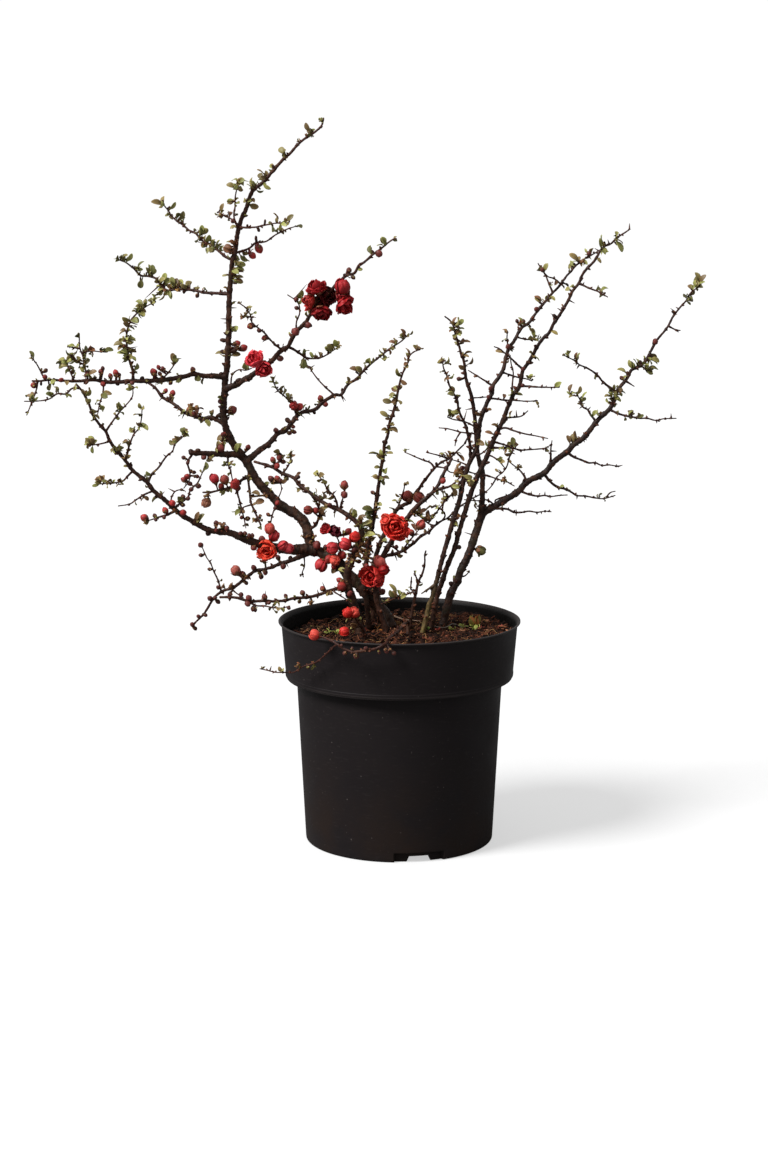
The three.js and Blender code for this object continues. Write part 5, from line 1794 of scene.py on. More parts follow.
@dataclass
class Leaves:
    """The young leaves: folded, arched blades on short stalks."""

    length: float = 9.0
    large: float = 11.5
    small: float = 5.2
    stalk: float = 3.5  # the longest stalk
    beyond: float = 1.2  # how much further than its mark a tip reaches
    slimness: float = 0.3  # half the width, as a share of the blade's length
    sprout: int = 3  # tiny leaves or scales at a node
    ruff: int = 6  # bracts round a small bud
    edge: str = "#8a5a3a"  # young edges are rusty
    ruddy: str = "#865c40"  # and so is the whole of many a young leaf
    papery: tuple[str, str] = ("#4a2a1c", "#a5724c")  # brown scales, dark and light
    tender: tuple[str, str] = ("#4c4d20", "#a5a452")  # and the green leaves among them
    bract_hues: tuple[str, ...] = ("#5a3423", "#94703c", "#918a46", "#a85e38")
    columns: int = 8
    seed: int = 71
    # The smaller leaves round each: how far to the back, how far aside, and how often.
    companions: tuple[tuple[float, float, float], ...] = (
        (0.9, 0.0, 0.4),
        (-0.9, 0.0, 0.4),
        (0.3, 1.0, 0.45),
        (-0.3, -1.0, 0.45),
    )
    # The pieces that hold the leaves, each from a left to a right and a low to a high.
    zones: tuple[tuple[str, float, float, float, float], ...] = (
        ("leaves_left", -1000.0, -185.0, 0.0, 1000.0),
        ("leaves_top", -185.0, 400.0, 400.0, 1000.0),
        ("leaves_right", 60.0, 1000.0, 0.0, 470.0),
        ("leaves_middle", -185.0, 60.0, 0.0, 400.0),
    )

    def shapes(
        self, foot: Array, tip: Array, reach: Array, draw: np.random.Generator
    ) -> Array:
        """Shapes leaves from their feet to their tips.

        The stalk is thin up to where the blade starts. The blade is widest past its middle,
        folded up in a V along its midrib, arched, and drooping at its tip.

        Args:
            foot: where each leaf leaves the wood.
            tip: where it ends.
            reach: the longest that its blade may be.
            draw: random numbers.

        Returns:
            Rings as (leaves, rows, columns, 3).
        """
        count, way, span = len(foot), tip - foot, lengths(tip - foot)
        blade = np.minimum(0.86 * span, reach)
        stalk = (1.0 - blade / span)[:, None]
        share = np.array([0.06, 0.24, 0.45, 0.66, 0.84, 0.95, 1.0])
        rows = np.concatenate([np.zeros((count, 1)), stalk + (1.0 - stalk) * share], axis=1)
        profile = np.array([0.0, 0.3, 0.74, 0.98, 1.0, 0.8, 0.48, 0.1])
        slim = self.slimness * draw.uniform(0.75, 1.2, (count, 1))
        width = np.maximum(0.3, blade[:, None] * slim * profile)[..., None]
        heading = unit(way)
        facing = 0.7 * FRONT + 0.6 * UP + 0.75 * draw.normal(size=(count, 3))
        facing = unit(facing - (facing * heading).sum(1, keepdims=True) * heading)
        arch = (0.10 * np.sin(math.pi * rows) - 0.10 * rows**3) * span[:, None]
        path = foot[:, None] + way[:, None] * rows[..., None] + facing[:, None] * arch[..., None]
        angle = circle(self.columns)
        fold = draw.uniform(0.2, 0.75, (count, 1, 1)) * np.abs(np.cos(angle)) ** 1.3
        wide = width * np.cos(angle)
        high = fold * width + 0.2 * np.sin(angle)
        side, facing = np.cross(facing, heading)[:, None, None], facing[:, None, None]
        return path[:, :, None] + wide[..., None] * side + high[..., None] * facing

    def lateness(self, across: Array) -> Array:
        """Says how far behind the rest the leaves of the right-hand canes are, from 0 to 1."""
        return ramp(across, -10.0, 60.0) * ramp(across, 215.0, 155.0)

    def fork(self, place: Array) -> Array:
        """Says how near each place is to the fork, by a bell curve that is 1 there."""
        return np.exp(-(((place[:, ::2] - FORK) / 46.0) ** 2).sum(1))

    def ruddiness(self, place: Array) -> Array:
        """Says how ruddy the leaves are at each place.

        Those far out to the right, at the end of the left arm and at the fork are the greenest,
        and those low down and in the middle the ruddiest.

        Args:
            place: the leaves' feet.

        Returns:
            The share of the ruddy colour, before chance adds to it.
        """
        across, up = place[:, 0], place[:, 2]
        right = ramp(across, 150.0, 200.0)
        left = ramp(across, -190.0, -240.0) * ramp(up, 420.0, 450.0)
        inner = np.maximum(ramp(up, 430.0, 370.0), ramp(across, -60.0, -30.0))
        inner = inner * ramp(across, 60.0, 20.0) * (1.0 - 1.3 * self.fork(place))
        return 0.22 * self.lateness(across) + 0.2 * inner - 0.26 * right - 0.1 * left - 0.4

    def lushness(self, place: Array) -> Array:
        """Says how leafy the shrub is at each place, from 0 to 1.

        The left half is leafier than the right, and the fork is leafiest.
        """
        left = ramp(place[:, 0], 20.0, -100.0)
        return np.clip(0.2 + 0.13 * left + 0.72 * self.fork(place), 0.0, 0.97)

    def listed(self, limb: Limb, draw: np.random.Generator) -> list[tuple[Array, ...]]:
        """Lays out a limb's leaves of the table, with the smaller ones round each.

        Args:
            limb: the limb.
            draw: random numbers.

        Returns:
            Sets of feet, tips, sizes and colours.
        """
        found = marks(limb.growth.leaves)
        count = len(found.drawn)
        on = limb.perches(found.drawn)
        known = {"": self.length, "l": self.large, "s": self.small}
        sizes = np.array([known[word.strip("pdro")] for word in found.letters], float)
        deep, light = shades(LeafHue, [word.strip("ls") for word in found.letters])
        late = self.lateness(on.drawn[:, 0])
        high = ramp(on.drawn[:, 1], 500.0, 540.0) * (on.drawn[:, 0] < 0.0)
        sizes = sizes * (1.0 - 0.14 * late - 0.07 * high)
        across = lengths(found.drawn - on.drawn)
        spare = np.sqrt(np.maximum(sizes**2 - across**2, 0.0)) * 0.7
        turn = draw.choice([-1.0, 1.0], count)
        depth = on.depth + turn * (spare + draw.uniform(0.0, 1.5, count))
        tip = carried(found.drawn + 0.7 * draw.normal(size=(count, 2)), depth)
        root = on.place + on.heading * draw.uniform(-4.5, 1.5, (count, 1))
        span = lengths(tip - root)
        reach = np.clip(span * self.beyond, 0.75 * sizes, sizes + self.stalk)
        tip = root + (tip - root) * (reach / span)[:, None]
        sets = [(root, tip, sizes, blend(deep, light, draw.uniform(0.0, 1.0, count)))]
        main = unit(tip - root)
        level = unit(np.cross(main, FRONT))
        for spread, aside, share in self.companions:
            way = main + aside * draw.uniform(0.5, 1.1, (count, 1)) * level
            way = unit(way - spread * draw.uniform(0.5, 1.2, (count, 1)) * FRONT)
            way = unit(way + 0.3 * draw.normal(size=way.shape) + 0.15 * UP)
            size = sizes * draw.uniform(0.5, 0.9, count)
            shade = blend(deep, light, draw.uniform(0.0, 1.0, count))
            kept = draw.random(count) < share * (1.0 - 0.4 * late - 0.25 * high)
            parts = (root, root + way * size[:, None], size, shade)
            sets.append(tuple(part[kept] for part in parts))
        return sets

    def sprouts(self, line: Line, draw: np.random.Generator) -> tuple[Array, ...]:
        """Lays out the tiny leaves and brown bracts that break from a line's nodes.

        Args:
            line: the line.
            draw: random numbers.

        Returns:
            The feet, tips, sizes and colours.
        """
        count = len(line.nodes) * self.sprout
        place, heading, radius = line.at(np.repeat(line.nodes, self.sprout))
        turn = GOLDEN_TURN * (np.arange(count) // self.sprout) + draw.normal(size=count) * 0.8
        out = spokes(heading, turn)
        way = unit(out + draw.uniform(0.1, 1.0, (count, 1)) * heading + 0.3 * UP)
        size = draw.uniform(2.6, 6.0, count)
        foot = place + out * (radius[:, None] * 0.8)
        brown = draw.random(count) < 0.43 + 0.45 * self.lateness(foot[:, 0])
        papery, tender = (
            blend(*hues(pair), draw.random(count)) for pair in (self.papery, self.tender)
        )
        shade = np.where(brown[:, None], papery, tender)
        size = np.where(brown, size * 0.6, size)
        kept = draw.random(len(line.nodes)).repeat(self.sprout) < self.lushness(place)
        kept &= draw.random(count) < 0.75
        return tuple(part[kept] for part in (foot, foot + way * size[:, None], size, shade))

    def bracts(self, limb: Limb, draw: np.random.Generator) -> tuple[Array, ...]:
        """Lays out the ruffs of bracts: round the middle of a leafy bud, and round the foot of
        any other.

        Args:
            limb: the limb.
            draw: random numbers.

        Returns:
            The feet, tips, sizes and colours.
        """
        found = marks(limb.growth.buds)
        leafy = np.repeat([letter in LEAFY for letter in found.letters], self.ruff).astype(bool)
        spot = np.repeat(found.drawn, self.ruff, axis=0)
        size = np.repeat(found.radius, self.ruff)
        on = limb.perches(spot)
        head = carried(spot, on.depth - on.radius - 0.4 * size)
        foot = blend(head, on.place, np.where(leafy, 0.12, 0.5))
        way = unit(head - on.place) * np.where(leafy, 0.3, 1.1)[:, None]
        way = unit(way + draw.normal(size=foot.shape) * np.where(leafy, 1.0, 0.6)[:, None])
        size = size * np.where(leafy, draw.uniform(1.1, 2.0, len(spot)), 1.15)
        pick = draw.choice(4, len(spot), p=[0.35, 0.28, 0.22, 0.15])
        return foot, foot + way * size[:, None], size, hues(self.bract_hues)[pick]

    def grow(self, limbs: dict[str, Limb], finish: bpy.types.Material) -> None:
        """Grows every leaf: those of the table, and the smaller ones round them and the nodes.

        Args:
            limbs: the limbs by name.
            finish: the leaf.
        """
        nodes = {name: () for name, *_ in self.zones}
        nodes |= {f"tuft_{tuft.node}": (tuft.node,) for tuft in TUFTS}
        surfaces = {name: Surface() for name in nodes}
        across = np.cos(circle(self.columns))
        for order, limb in enumerate(limbs.values()):
            draw = np.random.default_rng(self.seed + order)
            sets = self.listed(limb, draw)
            sets += [self.sprouts(line, draw) for line in limb.lines]
            sets.append(self.bracts(limb, draw))
            foot, tip, sizes, shade = (np.concatenate(parts) for parts in zip(*sets))
            rings = self.shapes(foot, tip, sizes, draw)
            rows = np.linspace(0.0, 1.0, rings.shape[1])[:, None]
            share = 1.2 * draw.random(len(foot)) + self.ruddiness(foot)
            shade = blend(shade, linear(self.ruddy), share)[:, None, None]
            rusty = draw.uniform(0.0, 0.55, (len(foot), 1, 1)) * across**4
            tint = shade * (0.78 + 0.42 * rows[..., None])
            tint = blend(tint, linear(self.edge), rusty * (0.4 + 0.6 * rows))
            homes = self.homes(limb, foot, tip)
            for home, surface in surfaces.items():
                here = homes == home
                surface.tubes(rings[here], tint[here], flowing(across))
        for name, surface in surfaces.items():
            settle(surface.made(name, finish), "leaves", *nodes[name])

    def homes(self, limb: Limb, foot: Array, tip: Array) -> Array:
        """Says which piece each leaf belongs to: the tuft it is in, or else its zone.

        Args:
            limb: the limb.
            foot: the leaves' feet.
            tip: their tips.

        Returns:
            The pieces' names.
        """
        homes = np.full(len(foot), self.zones[-1][0], dtype=object)
        across, up = foot[:, 0], foot[:, 2]
        for name, left, right, low, high in self.zones:
            homes[(across >= left) & (across < right) & (up >= low) & (up < high)] = name
        for tuft in TUFTS:
            if tuft.host == limb.growth.name:
                middle = limb.perches(np.array([tuft.spot]), shoots=False).place[0]
                homes[lengths(tip - middle) < tuft.reach] = f"tuft_{tuft.node}"
        return homes


# ---- buds and blossoms -------------------------------------------------------------------


@dataclass
class SmallBuds:
    """The small buds of the table: lobed ovoids in their scales, on short stalks."""

    columns: int = 8
    stalk: float = 0.95
    seed: int = 311

    def grow(self, limbs: dict[str, Limb], finish: bpy.types.Material) -> None:
        """Grows every small bud in one piece.

        A bud's half width over its length is a fixed profile; its lobes are a cosine round it.
        It sits in front of its twig by what its distance across leaves of its reach.

        Args:
            limbs: the limbs by name.
            finish: the bud's scales.
        """
        surface = Surface()
        draw = np.random.default_rng(self.seed)
        angle = circle(self.columns)
        for limb in limbs.values():
            found = marks(limb.growth.buds)
            count = len(found.drawn)
            if not count:
                continue
            on = limb.perches(found.drawn)
            leafy = np.array([letter in LEAFY for letter in found.letters])
            size = found.radius * np.where(leafy, 0.8, 1.1)
            across = lengths(found.drawn - on.drawn)
            ahead = np.sqrt(np.maximum((on.radius + 0.8 * size) ** 2 - across**2, 0.0))
            middle = carried(found.drawn, on.depth - ahead)
            axis = unit(unit(middle - on.place) + 0.35 * on.heading + 0.2 * UP)
            size = size[:, None]
            share = 1.95 * np.array([0.0, 0.1, 0.3, 0.52, 0.74, 0.9, 1.0])[:, None] - 1.0
            path = middle[:, None] + (axis * size)[:, None] * share
            path = np.concatenate([on.place[:, None], path], axis=1)
            profile = 0.92 * np.array([0.0, 0.5, 0.74, 0.97, 1.0, 0.8, 0.46, 0.1])
            width = np.maximum(size * profile, 0.14)
            width[:, 0] = self.stalk
            rings = swept(path, width, width, self.columns, square_to(axis)[0][:, None])
            lobes = 0.09 * np.cos(2.0 * angle + draw.uniform(0.0, 6.0, (count, 1, 1)))
            scale, tip = shades(BudHue, found.letters)
            opened = np.array([0.0, 0.0, 0.0, 0.22, 0.75, 1.0, 0.95, 0.7])
            opened = opened * np.clip((size - 1.5) / 2.4, 0.2, 1.0)  # small ones stay brown
            opened = opened * draw.uniform(0.7, 1.0, (count, 1))
            tint = blend(scale[:, None], tip[:, None], opened)[:, :, None]
            fleck = 1.0 + 0.26 * np.cos(2.0 * angle + 1.0)[:, None]
            surface.tubes(swollen(rings, lobes), tint * fleck, flowing(angle / math.pi))
        settle(surface.made("small_buds", finish), "buds")


@dataclass
class Flower:
    """One flower head: its petals in whorls, the folded heart of a closed one, and its calyx."""

    head: Head
    perch: Array  # the place on the limb that it grows from
    middle: Array
    seed: int
    rows: int = 9
    columns: int = 9
    thickness: float = 0.28
    sepal: float = 0.25  # how thick one is
    pole: float = 6.0  # degrees from the bowl's pole to a petal's foot
    stalk: str = "#4a3a22"
    cup: str = "#6c3a2a"
    sepals: tuple[str, str] = ("#6e6234", "#8c4c38")  # from foot to tip

    def __post_init__(self) -> None:
        """Sets the head in space: its axis, and the base that its bowls stand on."""
        self.draw = np.random.default_rng(self.seed)
        axis = self.middle - self.perch
        if self.head.facing is not None:
            axis = self.head.facing * np.array([1.0, -1.0, 1.0])
        self.axis = unit(axis)
        tallest = max(
            whorl.height * (1.0 - math.cos(math.radians(whorl.end)))
            for whorl in self.head.form.value
        )
        self.base = self.middle - self.axis * self.head.radius * tallest * 0.5

    def bowl(self, whorl: Whorl, swell: float = 1.0) -> tuple[Array, Array, Array, Array]:
        """Lays one whorl's petals on their bowl.

        A point at angle `up_bowl` from the bowl's pole is width * sin(up_bowl) from the axis and
        height * (1 - cos(up_bowl)) along it. A petal narrows to its tip as the square root of
        1 - u ** 5, one edge of it lies under its neighbour, and its rim ruffles as a sine
        across it that grows as u squared.

        Args:
            whorl: the ring of petals.
            swell: how much larger than the whorl's own size to make it.

        Returns:
            The outer grid, its outward directions, u from foot to tip, and v across.
        """
        u = np.linspace(0.0, 1.0, self.rows)[None, :, None]
        v = np.linspace(-1.0, 1.0, self.columns)[None, None, :]
        jitter = self.draw.normal(size=(4, whorl.count, 1, 1))
        end = whorl.end * (1.0 + (0.03 if self.head.form.closed else 0.12) * jitter[0])
        up_bowl = np.radians(self.pole + (end - self.pole) * u)
        taper = np.maximum(np.sqrt(1.0 - u**5), 0.14)
        turn = circle(whorl.count)[:, None, None] + 0.14 * jitter[1]
        turn = turn + self.draw.uniform(0.0, FULL_TURN) + math.radians(whorl.half) * taper * v
        size = self.head.radius * swell * (1.0 + 0.055 * jitter[2] + 0.05 * v)
        out = spokes(self.axis, turn)
        far = (size * whorl.width * np.sin(up_bowl))[..., None]
        high = (size * whorl.height * (1.0 - np.cos(up_bowl)))[..., None]
        normal = np.sin(up_bowl)[..., None] * out - np.cos(up_bowl)[..., None] * self.axis
        wave = np.sin(2.3 * math.pi * v + 3.0 * jitter[3])
        wave = wave + 0.6 * np.sin(5.0 * v - 2.0 * jitter[1])
        ruffle = (whorl.ruffle * self.head.radius * u**2 * wave)[..., None]
        return self.base + far * out + high * self.axis + ruffle * normal, normal, u, v

    def petals(self, surface: Surface) -> None:
        """Adds every whorl of petals, each deep at its foot and lighter towards its rim.

        Args:
            surface: where they go.
        """
        deep, light = linear(self.head.deep), linear(self.head.light)
        for whorl in self.head.form.value:
            outer, normal, u, v = self.bowl(whorl)
            own = self.draw.uniform(-0.25, 0.25, (whorl.count, 1, 1))
            rim = 0.3 * u**3 + 0.14 * np.abs(v) ** 3
            share = whorl.light * (0.35 + 0.65 * u) + own + rim
            tint = blend(deep, light, np.stack([share - 0.08, share], axis=1))
            inner = outer - normal * self.thickness
            surface.blades(outer, inner, tint, flowing(v[:, None], u[:, None]))

    def heart(self, surface: Surface) -> None:
        """Fills a closed head with the egg of petals still folded inside it.

        Its half width is radius * sin(angle), as the bowl's is, from pole to pole.

        Args:
            surface: where it goes.
        """
        if not self.head.form.closed:
            return
        whorl = self.head.form.value[0]
        angle = np.linspace(0.2, 2.95, 9)
        size = 0.9 * self.head.radius
        high = size * whorl.height * (1.0 - np.cos(angle)) + 0.08 * self.head.radius
        width = size * whorl.width * np.sin(angle)
        path = self.base + high[:, None] * self.axis
        share = np.linspace(0.2, 0.7, 9)
        tint = blend(linear(self.head.deep), linear(self.head.light), share)
        rings = swept(path, width, width, 12, square_to(self.axis)[0])
        surface.tubes(rings[None], tint[:, None])

    def calyx(self, surface: Surface) -> None:
        """Adds the stalk with the cup that holds the petals, and five sepals round it.

        Args:
            surface: where they go.
        """
        size = self.head.radius
        foot = self.base - self.axis * 0.3 * size
        bend = blend(self.perch, foot, 0.55) - self.axis * 0.1 * size
        points = np.stack([self.perch, bend, foot, self.base])
        path = smooth_path(points, max(0.5, size / 12.0))
        reach = travelled(path) / travelled(path)[-1]
        width = 0.75 + size * 0.34 * ramp(reach, 0.55, 1.0) ** 1.5
        rings = swept(path, width, width, 9, square_to(unit(path[-1] - path[0]))[0])
        tint = blend(linear(self.stalk), linear(self.cup), reach)
        surface.tubes(rings[None], tint[:, None], slot=1)
        outermost = self.head.form.value[0]
        up_head, half = (98.0, 33.0) if self.head.form is Form.BUD else (56.0, 24.0)
        sepals = Whorl(5, outermost.width, outermost.height, up_head, half, 0.03, 0.0)
        outer, normal, u, v = self.bowl(sepals, 1.05)
        outer = outer + normal * 0.3
        tint = blend(*hues(self.sepals), u[:, None])
        inner = outer - normal * self.sepal
        surface.blades(outer, inner, tint, flowing(v[:, None]), slot=1)


def flower_clusters(limbs: dict[str, Limb], finishes: Finishes) -> None:
    """Builds every blossom and large bud in the place of its node.

    Args:
        limbs: the limbs by name.
        finishes: the materials.
    """
    for order, cluster in enumerate(clustered(FLOWER_TEXT)):
        surface = Surface()
        for number, head in enumerate(cluster.heads):
            on = limbs[cluster.host].perches(head.spot, shoots=False)
            middle = carried(head.spot, on.depth - head.forward)[0]
            flower = Flower(head, on.place[0], middle, 1000 + 10 * order + number)
            flower.petals(surface)
            flower.heart(surface)
            flower.calyx(surface)
        piece = surface.made(f"flower_{cluster.name}", finishes.petal, finishes.scale)
        slot = "buds" if cluster.name.startswith("bud") else "petals"
        settle(piece, slot, cluster.name)


# ---- pot ---------------------------------------------------------------------------------


@dataclass
class NurseryPot:
    """The moulded pot: a tapering body under a deep collar with a rolled lip.

    Sizes are millimetres; the lip's radius and the height come from the frame.
    """

    lip_depth: float = 3.8
    lip_edge: float = 1.2
    collar_top: float = 112.2
    collar_foot: float = 108.4
    collar_foot_z: float = 160.5
    body_top: float = 97.8
    body_top_z: float = 158.5
    body_foot: float = 89.7
    wall: float = 1.8
    foot_wall: float = 6.0
    floor_z: float = 6.6
    floor_thickness: float = 2.0
    first_notch: float = -78.0  # degrees anticlockwise from the right, so to the front's right
    notches: int = 3
    recess_width: float = 48.0
    recess_height: float = 9.0
    recess_depth: float = 4.6
    gap_width: float = 24.0
    gap_height: float = 5.0
    gap_slant: float = 2.5  # how much of the wall a gap's slanted side takes
    crisp: float = 0.4  # and a recess's side
    columns: int = 360
    black: str = "#1d191a"
    # the inner wall's black, darkened with painted shade
    painted_shade_inside: str = "#0b0908"

    def outline(self, lip_radius: float, height: float) -> tuple[Array, Array]:
        """Draws half the pot's section, from the middle of its underside round to its floor.

        Args:
            lip_radius: the pot's widest radius.
            height: its height.

        Returns:
            The corners as (radius, z), and how much each is rounded off.
        """
        foot, foot_z, body = self.collar_foot, self.collar_foot_z, self.body_foot
        slope = (self.collar_top - foot) / (height - foot_z)
        step, floor = foot + slope * 3.0, self.floor_z + self.floor_thickness
        corners = [
            (3.0, self.floor_z, 0.0),
            (body - self.foot_wall, self.floor_z, 1.0),
            (body - self.foot_wall, 0.0, 1.0),
            (body, 0.0, 2.2),
            (body + 0.45, self.recess_height - self.crisp, 0.0),
            (body + 0.45, self.recess_height, 0.0),
            (body + 0.55, self.recess_height + 1.2, 0.0),
            (self.body_top, self.body_top_z, 0.6),
            (foot - 0.9, self.body_top_z + 0.2, 0.5),
            (foot - 0.9, foot_z, 0.3),
            (foot, foot_z, 0.5),
            (step, foot_z + 3.0, 0.3),
            (step - 0.35, foot_z + 3.6, 0.2),
            (self.collar_top - slope * self.lip_depth, height - self.lip_depth, 0.9),
            (lip_radius - 0.4, height - self.lip_edge, 0.3),
            (lip_radius, height - self.lip_edge / 2.0, 0.3),
            (lip_radius - 0.4, height, 0.3),
            (lip_radius - 2.0, height, 0.4),
            (self.collar_top - self.wall, height - self.lip_depth, 0.9),
            (foot - self.wall, foot_z, 1.0),
            (self.body_top - self.wall, self.body_top_z - 2.0, 1.0),
            (body - self.wall, floor, 1.0),
            (3.0, floor, 0.0),
        ]
        table = np.array(corners)
        return table[:, :2], table[:, 2:]

    def rounded(self, corners: Array, rounding: Array) -> Array:
        """Rounds a section's corners off and divides its long runs.

        Each corner is the curve (1 - t)^2 before + 2 t (1 - t) corner + t^2 after, where before
        and after lie a rounding away from it.

        Args:
            corners: the section's corners.
            rounding: how far each is cut back.

        Returns:
            The section's points as (radius, z).
        """
        before, after = (
            (corners + unit(beside - corners) * rounding)[:, None]
            for beside in (
                np.vstack([corners[:1], corners[:-1]]),
                np.vstack([corners[1:], corners[-1:]]),
            )
        )
        t = np.linspace(0.0, 1.0, 6)[:, None]
        arcs = (1 - t) ** 2 * before + 2 * t * (1 - t) * corners[:, None] + t**2 * after
        points = arcs.reshape(-1, 2)
        points = points[np.append(True, lengths(np.diff(points, axis=0)) > 0.02)]
        length = travelled(points)
        extra = np.concatenate([length, np.arange(0.0, length[-1], 6.0)])
        even = np.unique(np.round(extra, 3))
        even = even[np.append(True, np.diff(even) > 0.05)]
        return columnwise(even, length, points)

    def columns_round(self) -> Array:
        """Sets the columns, with close pairs of them at every edge of a notch.

        Returns:
            Their angles.
        """
        half = np.array([self.recess_width, self.gap_width]) / 2.0
        edges = (half[:, None] + np.array([-0.5, 0.5]) * self.crisp).ravel()
        edges = np.concatenate([edges, edges - self.gap_slant])
        around = np.concatenate([edges, -edges]) / self.body_foot
        middles = math.radians(self.first_notch) + circle(self.notches)
        extra = (middles[:, None] + around).ravel() % FULL_TURN
        return np.unique(np.round(np.concatenate([circle(self.columns), extra]), 5))

    def notched(self, section: Array, turn: Array) -> tuple[Array, Array]:
        """Works out each point's radius and height with the foot's drainage notches.

        Within a notch the outer wall is set back below the recess's height, and in its middle
        the foot's edge rises to the gap's height over slanted sides.

        Args:
            section: the section's points.
            turn: the columns' angles.

        Returns:
            Radii and heights as (rows, columns).
        """
        each = FULL_TURN / self.notches
        off = (turn - math.radians(self.first_notch) + each / 2) % each - each / 2
        across = np.abs(off) * self.body_foot
        recess = ramp((self.recess_width / 2 - across) / self.crisp + 0.5)
        lift = self.gap_height * ramp((self.gap_width / 2 - across) / self.gap_slant)
        radius, z = section[:, :1], section[:, 1:]
        outside = radius > self.body_foot - self.foot_wall + 0.5
        low = outside & (z < self.recess_height - self.crisp / 2)
        back = np.minimum(radius, self.body_foot - self.recess_depth)
        out = np.where(low, radius + (back - radius) * recess, radius)
        top = np.where(outside, self.recess_height - self.crisp, self.floor_z)
        return out, z + lift * ramp((top - z) / top)

    def made(self, finish: bpy.types.Material) -> None:
        """Makes the pot, with a painted highlight at its lip and step, soiled towards its foot and
        darker inside with painted shade.

        Args:
            finish: the plastic.
        """
        low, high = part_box("nursery_pot")
        radius, height = (high.x - low.x) / 2 / MM, (high.z - low.z) / MM
        section = self.rounded(*self.outline(radius, height))
        turn = self.columns_round()
        out, heights = self.notched(section, turn)
        # Thin moulded walls are never quite round.
        sag = 0.35 * np.sin(2.0 * turn + 0.7) + 0.15 * np.sin(3.0 * turn + 2.0)
        out = out + sag * (heights / height) ** 2 * (section[:, :1] > 60.0)
        out = np.minimum(out, radius)
        rings = np.stack([out * np.cos(turn), out * np.sin(turn), heights], axis=-1)
        r, z = section.T
        # The lip and the step's edge get a painted highlight.
        lip = np.exp(-(((z - height + self.lip_edge / 2) / 0.9) ** 2)) * 1.4
        step = np.exp(-(((z - self.collar_foot_z) / 0.8) ** 2)) * (r > self.body_top + 4.0)
        edge_highlight = (0.5 * lip + 0.5 * step) * (r > 80.0)
        soiled = 0.55 * np.clip(1.0 - z / 110.0, 0.04, 1.0)
        # The inner wall is darkened with painted shade.
        inside = (np.gradient(z) < 0) & (np.arange(len(z)) > np.argmax(z))
        tint = np.where(inside[:, None], linear(self.painted_shade_inside), linear(self.black))
        surface = Surface()
        surface.tubes(rings[None], tint[:, None], flowing(edge_highlight, soiled)[:, None])
        settle(surface.made("pot_shell", finish), "pot", "nursery_pot")


# ---- compost -----------------------------------------------------------------------------


